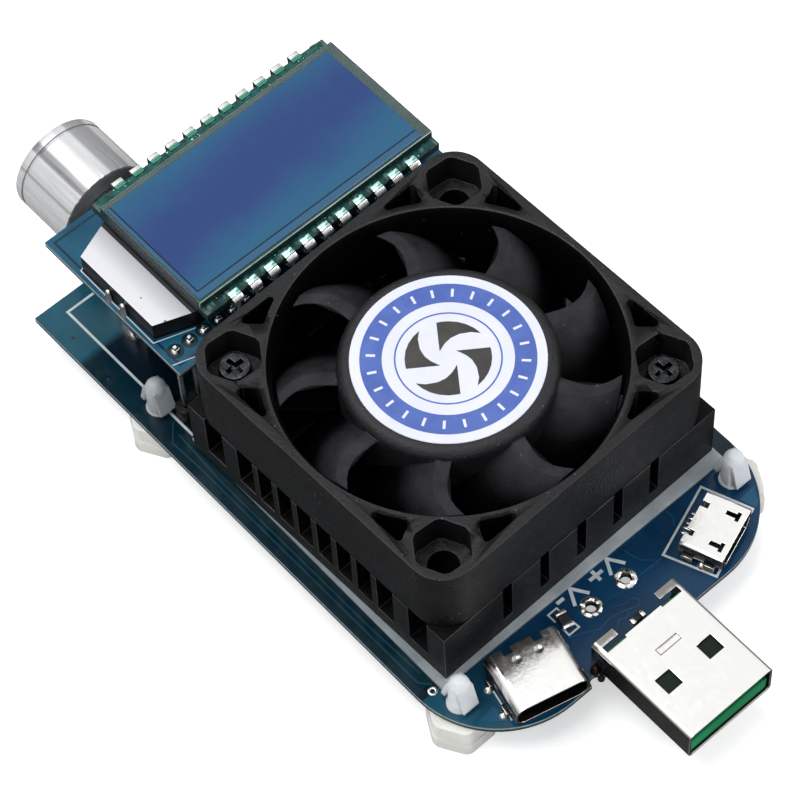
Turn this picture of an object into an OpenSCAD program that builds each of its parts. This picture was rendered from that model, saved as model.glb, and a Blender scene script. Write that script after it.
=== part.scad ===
// Small USB electronic load: a board on four snap-in feet carries a finned heatsink with an axial fan,
// a raised segment display, a rotary encoder with its knob, and a plug and two sockets at the front.
// X runs across the board, Y from the plug to the knob and Z up from the feet. Sizes are millimetres.

/* [Main board] */
// Width of the main board
board_w = 46; // [45:0.5:60]
// Fan axis to the back edge of the board
board_back = 45; // [44:0.5:60]
// Fan axis to the front edge of the board
board_front = 31.4; // [31:0.1:40]
// Radius of the two front corners
board_r = 11.5; // [4:0.5:12]
// Thickness of the main board
board_t = 0.8; // [0.6:0.1:1.6]

/* [Feet] */
// Height of a foot below the board
foot_h = 4.4; // [3:0.2:8]
// Width across the flats of the lower foot hexagon
foot_af = 7; // [5.5:0.1:8]
// Board edge to the centre of a foot
foot_inset = 3; // [2.5:0.1:3.4]
// Front edge of the board to the front feet
foot_front = 8.1; // [6:0.1:8.3]
// Back edge of the board to the back feet
foot_back = 18.5; // [12:0.5:20]
// Diameter of the snap stem that passes the board
stem_d = 3; // [2:0.1:3.4]
// Height of the barbed nub above the board
nub_h = 5; // [4:0.2:7]

/* [Heatsink] */
// Side of the square heatsink
sink_w = 40.2; // [40:0.1:42]
// Height of the heatsink
sink_h = 8.5; // [6:0.5:14]
// Thickness of the heatsink base
sink_base = 2; // [1:0.1:3]
// Thickness of a thin fin
fin_t = 0.9; // [0.6:0.1:1.4]
// Pitch of the thin fins
fin_pitch = 3.1; // [2.8:0.1:3.2]
// Thickness of the four thick fins that the screws bite between
fin_wide = 2.4; // [1.8:0.1:2.6]
// Pitch of the cuts across the fins
cut_pitch = 5.45; // [4:0.05:6]
// Width of a cut across the fins
cut_w = 1.3; // [0.8:0.1:2]
// Thickness of the thermal pad
pad_t = 0.5; // [0.3:0.1:1]
// How far the pad stands out round the heatsink
pad_rim = 0.8; // [0.2:0.1:1]
// Turn of the heatsink and fan on the board, as the hand-laid pad left them
fan_turn = 1.5; // [0:0.5:2]

/* [Fan] */
// Side of the square fan
fan_w = 40; // [40:0.1:40.4]
// Height of the fan
fan_h = 10; // [9:0.5:15]
// Pitch of the four fan holes
fan_pitch = 32; // [31.6:0.1:32]
// Diameter of the fan duct
duct_d = 37.4; // [37:0.1:37.6]
// Diameter of the flared duct mouth
mouth_d = 38.4; // [38.2:0.1:38.6]
// Thickness of the fan's outer walls
fan_wall = 1.1; // [0.6:0.1:1.2]
// Diameter of the rotor hub
hub_d = 23.8; // [23:0.1:24.4]
// Number of fan blades
blade_count = 9; // [5:1:11]
// Thickness of a blade
blade_t = 0.9; // [0.6:0.1:1.2]
// Gap between blade tips and duct
tip_gap = 0.4; // [0.3:0.05:0.8]
// Diameter of the rotor shaft
rotor_shaft_d = 2; // [1.5:0.1:2.4]
// Width across the flats of a nut pocket in a fan corner
pocket_af = 5.8; // [5.5:0.1:6]
// Depth of a nut pocket
pocket_depth = 4; // [3:0.1:6]

/* [Display board] */
// Width of the display board
display_w = 40; // [39.4:0.1:44]
// Depth of the display board
display_d = 23.2; // [22.6:0.1:24]
// Thickness of the display board
display_t = 0.8; // [0.6:0.1:1.6]
// Main board to the underside of the display board
display_gap = 12.2; // [11.8:0.1:16]
// Fan to the near edge of the display board
display_clear = 1; // [0.7:0.1:1.6]
// Number of header pins between the boards
header_count = 8; // [3:1:10]
// Pitch of the header pins
header_pitch = 2; // [1.8:0.1:2]

/* [Segment display] */
// Width of the display glass
glass_w = 33.3; // [31:0.1:34]
// Depth of the front glass
glass_d = 17; // [16:0.1:17.4]
// Thickness of one glass
glass_t = 1.1; // [0.7:0.1:1.4]
// Near ledge of the rear glass, where the clips sit
ledge_near = 1.15; // [0.9:0.05:1.5]
// Far ledge of the rear glass
ledge_far = 1.65; // [0.9:0.05:1.8]
// Offset of the glass to the right of the fan axis
glass_x = 2.15; // [0:0.05:2.5]
// Number of clip pins on each long side
clip_count = 11; // [4:1:12]
// Pitch of the clip pins
clip_pitch = 2.54; // [2:0.01:2.6]
// Width of a clip pin
clip_w = 1.2; // [0.8:0.1:1.4]
// Thickness of the backlight plate
light_t = 2.4; // [1.6:0.1:3.5]
// Reach of the backlight's tapered end past the glass
light_end = 4.7; // [3:0.1:4.9]

/* [Knob and encoder] */
// Diameter of the knob
knob_d = 12.1; // [10:0.1:14]
// Length of the knob
knob_len = 9.3; // [8:0.1:14]
// Back edge of the board to the near end of the knob
knob_gap = 2.1; // [1.6:0.1:4]
// Left edge of the board to the knob axis
knob_inset = 13.3; // [11:0.1:16]
// Height of the knob axis over the main board
knob_z = 6.2; // [5.8:0.1:6.2]
// Diameter of the encoder shaft
encoder_shaft_d = 6; // [4:0.1:6]
// Travel of the encoder's push switch
push_travel = 0.5; // [0.3:0.1:0.6]

/* [USB plug] */
// Width of the plug shell
plug_w = 12; // [11.8:0.1:12.2]
// Height of the plug shell
plug_h = 4.5; // [4.3:0.1:4.6]
// Length of the plug shell
plug_len = 14.8; // [14:0.1:18]
// How far the plug stands out in front of the board
plug_reach = 12.9; // [10:0.1:13]
// Plug axis to the left of the fan axis
plug_x = 1; // [0:0.1:1.5]
// Thickness of the sheet metal of plug and sockets
sheet_t = 0.3; // [0.2:0.05:0.4]

/* [USB sockets] */
// Width of the reversible socket
socket_c_w = 8.9; // [8.6:0.1:9.2]
// Height of the reversible socket
socket_c_h = 3.2; // [3.1:0.05:3.4]
// Length of the reversible socket
socket_c_len = 7.3; // [6.5:0.1:7.6]
// Place of the reversible socket, as a share of the way from the plug to the foot
socket_c_share = 0.43; // [0.4:0.01:0.46]
// Turn of the reversible socket on the board
socket_c_turn = -14; // [-16:1:-10]
// Width of the micro socket
socket_m_w = 7.4; // [7:0.1:7.8]
// Height of the micro socket
socket_m_h = 2.6; // [2.4:0.1:2.9]
// Length of the micro socket
socket_m_len = 5.2; // [4.8:0.1:5.6]
// Place of the micro socket, as a share of the way from the plug to the foot
socket_m_share = 0.553; // [0.52:0.001:0.58]
// Turn of the micro socket on the board
socket_m_turn = 20; // [14:1:24]

/* [Wire terminals] */
// Hole of a plated wire terminal
terminal_d = 1.3; // [0.8:0.1:1.6]
// Pitch of the two wire terminals
terminal_pitch = 5.1; // [4:0.1:5.6]
// Diameter of a terminal's solder ring
terminal_ring = 2.4; // [2:0.1:3]

/* [Hidden] */
$fn = 64;
// Play of a piece that is fitted and stays put
fit = 0.05;
// Radial play of a turning shaft
run = 0.03;
// Extra length that carries a cut past a face
over = 0.5;

// Levels
z_top = foot_h + board_t;
z_sink = z_top + pad_t;
z_fan = z_sink + sink_h;
z_display = z_top + display_gap;
z_light = z_display + display_t;
film_t = 0.2;
z_rear = z_light + film_t + light_t + film_t;
z_front = z_rear + glass_t;
z_knob = z_top + knob_z;

// Overall length, and the shift that puts its middle at the origin
plug_front = -board_front - plug_reach;
knob_near = board_back + knob_gap;
knob_far = knob_near + knob_len;
y_shift = -(plug_front + knob_far) / 2;

// Feet
foot_x = board_w / 2 - foot_inset;
foot_ys = [foot_front - board_front, board_back - foot_back];
stem_play = 0.1;
nub_r = stem_d / 2 - 0.25;
wing_w = 2.1;
wing_t = 0.55;
wing_end = 0.3;
wing_reach = stem_d / 2 + 0.3;
wing_foot = 0.65;
foot_tier = 0.55 * foot_h;
foot_step = 0.4;

// Heatsink
thin_fins = 7;
screw_groove = fan_pitch / 2;
groove_w = 2.8;
cuts = 5;

// Fan, with heights above the fan's own underside
boss_r = (fan_w - fan_pitch) / 2;
duct_wall = 1.3;
web_round = 0.4;
eye_r = boss_r + 0.2;
pocket_turn = -6;
pocket_round = 0.25;
mouth_h = 1;
pocket_floor = fan_h - pocket_depth;
web_floor = 1.6;
fan_hole_d = 3.4;
base_t = 1;
base_r = hub_d / 2 - 0.6;
strut_w = 2.2;
struts = 4;
strut_turn = 45;
tube_h = fan_h - 3.8;
tube_r = rotor_shaft_d / 2 + 2;
bearing_r = tube_r - 0.8;
motor_board_t = 0.8;
rotor_gap = 0.5;
hub_r = hub_d / 2;
hub_wall = 0.9;
hub_top = fan_h - 0.3;
hub_skin = 1.1;
hub_round = 1.2;
hub_foot = base_t + motor_board_t - 0.2;
label_r = hub_r - 1.45;
label_t = 0.15;
magnet_r = hub_r - hub_wall - fit;
magnet_t = 1.3;
magnet_foot = base_t + motor_board_t + 0.4;
magnet_h = fan_h - 5;
air_gap = 0.4;
pole_r = magnet_r - magnet_t - air_gap;
poles = 4;
pole_stem = 2.2;
pole_tip = 1;
pole_half_angle = 36;
core_h = 3;
core_foot = base_t + motor_board_t + 1.1;
coil_w = 5.2;
coil_end = 1;
coil_inner = tube_r + 1.5;
coil_outer = sqrt(pow(pole_r - pole_tip, 2) - pow(coil_w / 2, 2)) - 2 * fit;
blade_top = fan_h - 1.4;
blade_foot = base_t + rotor_gap;
blade_r = duct_d / 2 - tip_gap;
blade_root = hub_r - 0.5;
blade_chord = 7;
blade_bow = 14.6;
blade_lead = 25;
blade_sweep = 14;
blade_phase = 27 - fan_turn;
screw_corners = [[-1, 1], [1, -1]];
screw_head_d = 3.9;
screw_head_taper = 0.5;
screw_recess = 2.2;
screw_recess_w = 0.5;
screw_recess_h = 1;
screw_head_h = 2;
screw_core_d = 2.7;
screw_bite = 4;

// Fan leads, from the notch in the fan's back wall to a socket on the board
lead_d = 1;
lead_x = 7.7;
lead_pitch = 2;
lead_z = z_fan + 1.2;
lead_bend = 2.5;
lead_notch_w = lead_pitch + lead_d + 0.6;
lead_notch_h = 1.2 + lead_d;
lead_in = 1.2;
socket_y = fan_w / 2 + 9;
socket_w = 5.8;
socket_d = 4.4;
socket_h = 5;

// Display board
display_near = fan_w / 2 + display_clear;
header_y = display_near + 2.5;
header_first = 1.5 - display_w / 2;
header_pin = 0.5;
header_base_h = 2;
pin_hole = 0.9;
pin_tail = 0.8;

// Segment display
rear_near = display_near + 1.4;
rear_d = glass_d + ledge_near + ledge_far;
front_near = rear_near + ledge_near;
glass_left = glass_x - glass_w / 2;
film_inset = 0.3;
clip_t = 0.25;
clip_grip = 1.05;
clip_leg = 0.5;
clip_near_y = rear_near - clip_t / 2;
clip_far_y = rear_near + rear_d + clip_t / 2;
resin_w = clip_pitch - clip_w - 0.1;
light_near = rear_near + 2;
light_d = rear_d - 3.9;
light_taper = 1.8;
light_right = 0.3;
light_lead_d = 0.5;
light_lead_pitch = 2.5;

// Knob and encoder
knob_x = board_w / 2 - knob_inset;
knob_lip = 1.35;
knob_ring = 0.15;
knob_flutes = 12;
flute_r = 0.12;
knob_recess_r = 3.4;
knob_recess = 3.2;
knob_cap = 1.6;
shaft_flat = encoder_shaft_d / 4;
flat_from = knob_near + knob_recess - 0.3;
case_w = 12.4;
case_over = 5.2;
case_h = knob_z + case_over;
case_d = 6.6;
case_front = board_back - 4.4;
case_back = case_front - case_d;
case_wall = 0.8;
bushing_in = 1.5;
bushing_gap = 1.1;
bushing_wall = 0.6;
bushing_r = encoder_shaft_d / 2 + bushing_wall;
bushing_end = knob_near - bushing_gap;
shaft_in = case_back + 3;
plunger_r = encoder_shaft_d / 2 - 0.6;
plunger_gap = 0.2;
lug_t = 0.6;
lug_w = 2.2;
lug_y = case_back + 2.2;
lug_rise = 4;
lug_play = 0.2;
encoder_pin_pitch = 2.5;
encoder_pin = 0.6;

// Plug and sockets
plug_back = plug_front + plug_len;
plug_round = 0.6;
plug_window = 2.1;
plug_window_x = 3;
plug_window_from = 5.2;
plug_slot_w = 2.8;
plug_slot_d = 0.8;
plug_slot_x = 4;
plug_slot_from = 1.5;
plug_slot_lead = 0.3;
dimple_w = 3;
dimple_d = 0.8;
dimple_from = 9;
relief_r = 0.8;
tongue_h = 1.9;
tongue_set_back = 0.3;
contact_t = 0.15;
contact_len = 8;
contact_xs = [-3.5, -1, 1, 3.5];
contact_w = 1.1;
plug_left = plug_w / 2 + plug_x;
c_from = 4.3;
c_at = [-plug_left - socket_c_share * (foot_x - plug_left), c_from - board_front];
c_round = 1.3;
c_tongue_t = 0.7;
c_tongue_w = 6.6;
c_tongue_in = 1;
c_dimple_x = 1.3;
c_dimple_from = 1.8;
c_dimple_r = 0.5;
c_notch_x = 1.8;
c_notch_w = 1;
c_notch_d = 0.8;
plug_right = plug_w / 2 - plug_x;
m_from = 4;
m_at = [plug_right + socket_m_share * (foot_x - plug_right), m_from - board_front];
m_round = 0.4;
m_chamfer = 0.9;
m_tongue_t = 0.6;
m_tongue_w = 4;
m_tongue_in = 0.8;
m_notch_x = 1.9;
m_notch_w = 0.7;
m_notch_d = 0.9;
slot_x = 2.1;
slot_from = 0.7;
slot_len = 1.6;
slot_stem = 0.55;
slot_bar = 1.2;
slot_bar_d = 0.4;
core_depth = 1.6;
tab_len = 1.3;
tab_t = 0.35;
tab_rise = 0.9;

// Chip parts
chip_size = [2, 1.25, 0.6];
chip_stand = 0.1;
chip_lead_t = 0.2;
chip_lead_rise = 0.5;
chip_lead_reach = 1;
chip_lead_pad = 0.5;
chip_lead_share = 0.4;
sense_chip_gap = 7.1;
sense_chip_from = 7.6;
sense_chip_at = [c_at.x + sense_chip_gap, sense_chip_from - board_front, 0];
sense_chip_turn = 76;
bias_chip = [1.6, 0.8, 0.5];
bias_chip_x = 1.4;
bias_chip_gap = 0.2;
transistor = [6.6, 6.1, 2.2];
transistor_tab = [5.4, 2.6, 0.5];
transistor_lead = [0.8, 2.6, 0.5];
transistor_pitch = 4.6;
transistor_at = [0, 2];
shunt = [6.3, 3.2, 0.8];
shunt_at = [0, -12];
controller = [6.5, 4.4, 1.1];
controller_at = [-4, 29.5];
amplifier = [4.9, 3.9, 1.5];
amplifier_at = [10, 14];
regulator = [4.5, 2.5, 1.5];
regulator_at = [-11, 13];
chip_grid = [3.2, 2.4];
chip_grid_at = [8, 24];

// Wire terminals
terminal_x = 0.3;
terminal_from = 6.9;
terminal_at = [terminal_x, terminal_from - board_front];
terminal_wall = 0.12;
terminal_rim = 0.08;

// Shared shapes

module placed() {
    translate([0, y_shift, 0])
        children();
}

module on_fan(z) {
    rotate([0, 0, fan_turn])
        translate([0, 0, z])
            children();
}

module rounded_square(w, d, r) {
    square([w - 2 * r, d], center = true);
    square([w, d - 2 * r], center = true);
    for (sx = [-1, 1], sy = [-1, 1])
        translate([sx * (w / 2 - r), sy * (d / 2 - r)])
            circle(r);
}

module ring(r_out, r_in, h) {
    difference() {
        cylinder(r = r_out, h = h);
        translate([0, 0, -over])
            cylinder(r = r_in, h = h + 2 * over);
    }
}

// A flat shape in X and Z, drawn from the front, made solid from y0 to y1
module along_y(y0, y1) {
    translate([0, y1, 0])
        rotate([90, 0, 0])
            linear_extrude(y1 - y0)
                children();
}

module at_feet() {
    for (sx = [-1, 1], y = foot_ys)
        translate([sx * foot_x, y, 0])
            children();
}

module at_terminals() {
    for (side = [-0.5, 0.5])
        translate([terminal_at.x + side * terminal_pitch, terminal_at.y, 0])
            children();
}

module at_header() {
    for (i = [0 : header_count - 1])
        translate([header_first + i * header_pitch, header_y, 0])
            children();
}

module at_clips(y) {
    for (i = [0 : clip_count - 1])
        translate([glass_x + (i - (clip_count - 1) / 2) * clip_pitch, y, 0])
            children();
}

module at_lugs() {
    for (side = [-1, 1])
        translate([-knob_x + side * (case_w / 2 + lug_t / 2), lug_y, 0])
            children();
}

module at_encoder_pins() {
    for (i = [-1 : 1])
        translate([-knob_x + i * encoder_pin_pitch, case_back - encoder_pin, 0])
            children();
}

// Main board

module board_outline() {
    difference() {
        union() {
            translate([-board_w / 2, board_r - board_front])
                square([board_w, board_back + board_front - board_r]);
            translate([board_r - board_w / 2, -board_front])
                square([board_w - 2 * board_r, board_r + over]);
            for (side = [-1, 1])
                translate([side * (board_w / 2 - board_r), board_r - board_front])
                    circle(board_r);
        }
        for (side = [-1, 1])
            translate([-plug_x + side * (plug_w / 2 + relief_r), -board_front])
                circle(relief_r);
    }
}

module main_board() {
    color("#164a6c")
        translate([0, 0, foot_h])
            difference() {
                linear_extrude(board_t)
                    board_outline();
                translate([0, 0, -over]) {
                    at_feet()
                        cylinder(d = stem_d + 2 * stem_play, h = board_t + 2 * over);
                    at_terminals()
                        cylinder(d = terminal_d + 2 * (terminal_wall + fit), h = board_t + 2 * over);
                    at_header()
                        cylinder(d = pin_hole, h = board_t + 2 * over);
                    at_encoder_pins()
                        cylinder(d = pin_hole, h = board_t + 2 * over);
                    at_lugs()
                        translate([-lug_t / 2 - lug_play, -lug_w / 2 - lug_play, 0])
                            cube([lug_t + 2 * lug_play, lug_w + 2 * lug_play, board_t + 2 * over]);
                }
            }
}

module terminal_eyelets() {
    color("silver")
        at_terminals()
            translate([0, 0, foot_h - terminal_rim])
                difference() {
                    union() {
                        cylinder(d = terminal_ring, h = terminal_rim);
                        cylinder(d = terminal_d + 2 * terminal_wall, h = board_t + 2 * terminal_rim);
                        translate([0, 0, board_t + terminal_rim])
                            cylinder(d = terminal_ring, h = terminal_rim);
                    }
                    translate([0, 0, -over])
                        cylinder(d = terminal_d, h = board_t + 2 * over);
                }
}

// Snap-in feet: a hexagon in two tiers, a stem through the board and a blunt nub with two sprung wings

module rounded_hexagon(af, h) {
    corner_r = af / sqrt(3);
    intersection() {
        cylinder(r = corner_r, h = h, $fn = 6);
        cylinder(r = 0.95 * corner_r, h = h);
    }
}

module snap_nub() {
    rotate_extrude()
        polygon([
            [0, 0],
            [stem_d / 2, 0],
            [stem_d / 2, board_t],
            [nub_r, board_t],
            [nub_r, board_t + 0.72 * nub_h],
            [0.86 * nub_r, board_t + 0.86 * nub_h],
            [0.5 * nub_r, board_t + 0.97 * nub_h],
            [0, board_t + nub_h]
        ]);
    for (turn = [0, 180])
        rotate([0, 0, turn])
            translate([-wing_w / 2, 0, board_t])
                rotate([90, 0, 90])
                    linear_extrude(wing_w)
                        polygon([
                            [nub_r - wing_t - wing_end, 0.8 * nub_h],
                            [wing_reach - wing_t, wing_foot],
                            [wing_reach, wing_foot],
                            [wing_reach, wing_foot + wing_end],
                            [nub_r - wing_end, 0.8 * nub_h]
                        ]);
}

module snap_feet() {
    color("#e9ebe6")
        at_feet() {
            rounded_hexagon(foot_af, foot_h - foot_tier);
            translate([0, 0, foot_h - foot_tier])
                rounded_hexagon(foot_af - foot_step, foot_tier);
            translate([0, 0, foot_h])
                snap_nub();
        }
}

// Heatsink and the pad under it

module thermal_pad() {
    pad_w = sink_w + 2 * pad_rim;
    color("#c3c9cd")
        translate([-pad_w / 2, -pad_w / 2 - pad_rim / 2, z_top])
            cube([pad_w, pad_w, pad_t]);
}

// The fin comb from the side: thin fins in the middle, and at each end two thick ones with a screw groove
module fin_comb() {
    square([sink_w, 2 * sink_base], center = true);
    for (i = [0 : thin_fins - 1])
        translate([(i - (thin_fins - 1) / 2) * fin_pitch - fin_t / 2, 0])
            square([fin_t, sink_h]);
    for (side = [-1, 1]) {
        inner = screw_groove - groove_w / 2 - fin_wide;
        outer = screw_groove + groove_w / 2;
        translate([side * (inner + fin_wide / 2) - fin_wide / 2, 0])
            square([fin_wide, sink_h]);
        translate([side > 0 ? outer : -sink_w / 2, 0])
            square([sink_w / 2 - outer, sink_h]);
    }
}

module heatsink() {
    color("#1d1e20")
        on_fan(z_sink)
            difference() {
                translate([-sink_w / 2, 0, 0])
                    rotate([90, 0, 90])
                        linear_extrude(sink_w)
                            intersection() {
                                fin_comb();
                                translate([-sink_w, 0])
                                    square([2 * sink_w, sink_h]);
                            }
                for (i = [0 : cuts - 1])
                    translate([(i - (cuts - 1) / 2) * cut_pitch - cut_w / 2, -sink_w / 2 - over, sink_base])
                        cube([cut_w, sink_w + 2 * over, sink_h]);
            }
}

// Fan frame: a square duct with nut pockets in the corners, hollow webs beside them, and a motor base on struts

module at_fan_holes() {
    for (sx = [-1, 1], sy = [-1, 1])
        translate([sx * fan_pitch / 2, sy * fan_pitch / 2, 0])
            children();
}

module web_hollows() {
    offset(r = web_round)
        offset(delta = -web_round)
            difference() {
                square(fan_w - 2 * fan_wall, center = true);
                circle(duct_d / 2 + duct_wall);
                at_fan_holes()
                    circle(eye_r);
                for (turn = [0, 90])
                    rotate(turn)
                        square([fan_w, 2 * fan_w / 9], center = true);
                for (corner = screw_corners)
                    translate(corner * fan_pitch / 2)
                        rotate(45)
                            square(2 * boss_r, center = true);
            }
}

module nut_pocket() {
    intersection() {
        rotate(pocket_turn)
            cylinder(d = pocket_af * 2 / sqrt(3), h = fan_h, $fn = 6);
        cylinder(r = pocket_af / 2 + pocket_round, h = fan_h);
    }
}

module motor_base() {
    cylinder(r = base_r, h = base_t);
    cylinder(r = tube_r, h = tube_h);
    for (i = [0 : struts - 1])
        rotate([0, 0, strut_turn + i * 360 / struts])
            translate([0, -strut_w / 2, 0])
                cube([duct_d / 2 + duct_wall / 2, strut_w, base_t]);
}

module fan_frame() {
    color("#202123")
        on_fan(z_fan)
            difference() {
                union() {
                    difference() {
                        linear_extrude(fan_h)
                            rounded_square(fan_w, fan_w, boss_r);
                        translate([0, 0, -over])
                            cylinder(d = duct_d, h = fan_h + 2 * over);
                        translate([0, 0, fan_h - mouth_h])
                            cylinder(d1 = duct_d, d2 = mouth_d, h = mouth_h);
                        translate([0, 0, fan_h])
                            cylinder(d = mouth_d, h = over);
                        translate([0, 0, web_floor])
                            linear_extrude(fan_h)
                                web_hollows();
                        at_fan_holes() {
                            translate([0, 0, -over])
                                cylinder(d = fan_hole_d, h = fan_h);
                            translate([0, 0, pocket_floor])
                                nut_pocket();
                        }
                        translate([-lead_x - lead_notch_w / 2, duct_d / 2 - 2 * fan_wall, -over])
                            cube([lead_notch_w, fan_w, lead_notch_h + over]);
                    }
                    motor_base();
                }
                translate([0, 0, base_t])
                    cylinder(r = bearing_r + fit, h = fan_h);
            }
}

module fan_screws() {
    color("#2a2b2e")
        on_fan(z_fan)
            for (corner = screw_corners)
                translate([corner.x * fan_pitch / 2, corner.y * fan_pitch / 2, 0])
                    difference() {
                        union() {
                            translate([0, 0, pocket_floor])
                                cylinder(d1 = screw_head_d, d2 = screw_head_d - screw_head_taper, h = screw_head_h);
                            translate([0, 0, -screw_bite])
                                cylinder(d = screw_core_d, h = screw_bite + pocket_floor);
                        }
                        translate([0, 0, pocket_floor + screw_head_h - screw_recess_h])
                            for (turn = [0, 90])
                                rotate([0, 0, turn])
                                    translate([-screw_recess / 2, -screw_recess_w / 2, 0])
                                        cube([screw_recess, screw_recess_w, 2 * screw_recess_h]);
                    }
}

// Fan motor

module fan_motor_board() {
    color("#2c6b4a")
        on_fan(z_fan + base_t)
            ring(base_r - 0.7, tube_r + fit, motor_board_t);
}

module fan_stator_core() {
    color("#8b8f94")
        on_fan(z_fan + core_foot)
            difference() {
                union() {
                    cylinder(r = tube_r + 1.3, h = core_h);
                    for (i = [0 : poles - 1])
                        rotate([0, 0, i * 360 / poles]) {
                            translate([0, -pole_stem / 2, 0])
                                cube([pole_r - pole_tip / 2, pole_stem, core_h]);
                            intersection() {
                                ring(pole_r, pole_r - pole_tip, core_h);
                                linear_extrude(core_h)
                                    polygon([
                                        [0, 0],
                                        2 * pole_r * [cos(pole_half_angle), -sin(pole_half_angle)],
                                        2 * pole_r * [cos(pole_half_angle), sin(pole_half_angle)]
                                    ]);
                            }
                        }
                }
                translate([0, 0, -over])
                    cylinder(r = tube_r + fit, h = core_h + 2 * over);
            }
}

module fan_windings() {
    stem = pole_stem + 2 * fit;
    hole_h = core_h + 2 * fit;
    color("#b87333")
        on_fan(z_fan + core_foot - coil_end)
            for (i = [0 : poles - 1])
                rotate([0, 0, i * 360 / poles])
                    difference() {
                        translate([coil_inner, -coil_w / 2, 0])
                            cube([coil_outer - coil_inner, coil_w, core_h + 2 * coil_end]);
                        translate([0, -stem / 2, coil_end - fit])
                            cube([pole_r, stem, hole_h]);
                    }
}

module fan_bearing() {
    color("#b08d57")
        on_fan(z_fan + base_t)
            ring(bearing_r, rotor_shaft_d / 2 + run, tube_h - base_t - 0.2);
}

// Rotor: a cup with a rounded rim, a boss for the shaft and swept blades of bowed section

module hub_profile() {
    difference() {
        union() {
            translate([0, hub_foot])
                square([hub_r, hub_top - hub_round - hub_foot]);
            translate([0, hub_top - hub_round])
                square([hub_r - hub_round, hub_round]);
            translate([hub_r - hub_round, hub_top - hub_round])
                intersection() {
                    circle(hub_round);
                    square(hub_round);
                }
        }
        translate([rotor_shaft_d, 0])
            square([hub_r - hub_wall - rotor_shaft_d, hub_top - hub_skin]);
        square([rotor_shaft_d + fit, tube_h + rotor_gap]);
        square([rotor_shaft_d / 2 + 0.01, hub_top - hub_skin]);
    }
}

module blade_section() {
    intersection() {
        translate([blade_bow * sin(blade_lead), blade_top - blade_bow * cos(blade_lead)])
            difference() {
                circle(blade_bow + blade_t / 2, $fn = 128);
                circle(blade_bow - blade_t / 2, $fn = 128);
            }
        translate([-blade_chord - blade_t, blade_foot])
            square([blade_chord + 1.5 * blade_t, blade_top - blade_foot]);
    }
}

module blade() {
    translate([hub_r, 0, 0])
        rotate([0, 0, blade_sweep])
            translate([-hub_r / 2, 0, 0])
                rotate([90, 0, 90])
                    linear_extrude(duct_d / 2)
                        blade_section();
}

module fan_rotor() {
    color("#1b1c1e")
        on_fan(z_fan) {
            rotate_extrude($fn = 96)
                hub_profile();
            intersection() {
                ring(blade_r, blade_root, fan_h);
                for (i = [0 : blade_count - 1])
                    rotate([0, 0, blade_phase + i * 360 / blade_count])
                        blade();
            }
        }
}

module rotor_magnet() {
    color("#4a4744")
        on_fan(z_fan + magnet_foot)
            ring(magnet_r, magnet_r - magnet_t, magnet_h);
}

module rotor_shaft() {
    color("silver")
        on_fan(z_fan + base_t + 0.3)
            cylinder(d = rotor_shaft_d, h = hub_top - hub_skin - base_t - 0.3);
}

module hub_label() {
    color("#dfe3f5")
        on_fan(z_fan + hub_top)
            cylinder(r = label_r, h = label_t);
}

// Fan leads: straight out of the notch, a bend, and down into the socket

module fan_lead(x) {
    run_y = socket_y - lead_bend;
    start = fan_w / 2 - lead_in;
    on_fan(0)
        translate([x, 0, lead_z]) {
            translate([0, start, 0])
                rotate([-90, 0, 0])
                    cylinder(d = lead_d, h = run_y - start);
            translate([0, run_y, -lead_bend])
                rotate([90, 0, 90])
                    rotate_extrude(angle = 90)
                        translate([lead_bend, 0])
                            circle(d = lead_d, $fn = 24);
            translate([0, socket_y, z_top + socket_h - lead_z])
                cylinder(d = lead_d, h = lead_z - lead_bend - z_top - socket_h);
        }
}

module fan_lead_red() {
    color("#b3201c")
        fan_lead(-lead_x - lead_pitch / 2);
}

module fan_lead_black() {
    color("#161616")
        fan_lead(-lead_x + lead_pitch / 2);
}

module fan_lead_socket() {
    color("#e8e2d2")
        on_fan(z_top)
            translate([-lead_x - socket_w / 2, socket_y - socket_d / 2, 0])
                cube([socket_w, socket_d, socket_h]);
}

// Display board and the header that carries it

module display_board() {
    color("#1d5a84")
        translate([-display_w / 2, display_near, z_display])
            difference() {
                cube([display_w, display_d, display_t]);
                translate([display_w / 2, -display_near, -over]) {
                    at_header()
                        cylinder(d = pin_hole, h = display_t + 2 * over);
                    at_clips(clip_near_y)
                        cylinder(d = pin_hole, h = display_t + 2 * over);
                    at_clips(clip_far_y)
                        cylinder(d = pin_hole, h = display_t + 2 * over);
                }
            }
}

module header_cell() {
    cut = header_pitch / 5;
    half = header_pitch / 2;
    difference() {
        linear_extrude(header_base_h)
            polygon([
                [cut - half, -half], [half - cut, -half], [half, cut - half], [half, half - cut],
                [half - cut, half], [cut - half, half], [-half, half - cut], [-half, cut - half]
            ]);
        translate([-header_pin / 2 - fit, -header_pin / 2 - fit, -over])
            cube([header_pin + 2 * fit, header_pin + 2 * fit, header_base_h + 2 * over]);
    }
}

module header_strip() {
    color("#17181a")
        translate([0, 0, z_top])
            at_header()
                header_cell();
}

module header_pins() {
    color("#d8d3c2")
        at_header()
            translate([-header_pin / 2, -header_pin / 2, foot_h])
                cube([header_pin, header_pin, z_display + display_t - foot_h + pin_tail]);
}

// Backlight: a reflector sheet, a light plate with a tapered end and two leads

module light_outline() {
    polygon([
        [glass_left - light_end, light_near + light_taper],
        [glass_left, light_near],
        [glass_left + glass_w - light_right, light_near],
        [glass_left + glass_w - light_right, light_near + light_d],
        [glass_left, light_near + light_d],
        [glass_left - light_end, light_near + light_d - light_taper]
    ]);
}

module backlight_film() {
    color("#151517")
        translate([0, 0, z_light])
            linear_extrude(film_t)
                light_outline();
}

module backlight_plate() {
    color("#f2f2ee")
        translate([0, 0, z_light + film_t])
            linear_extrude(light_t)
                light_outline();
}

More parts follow.
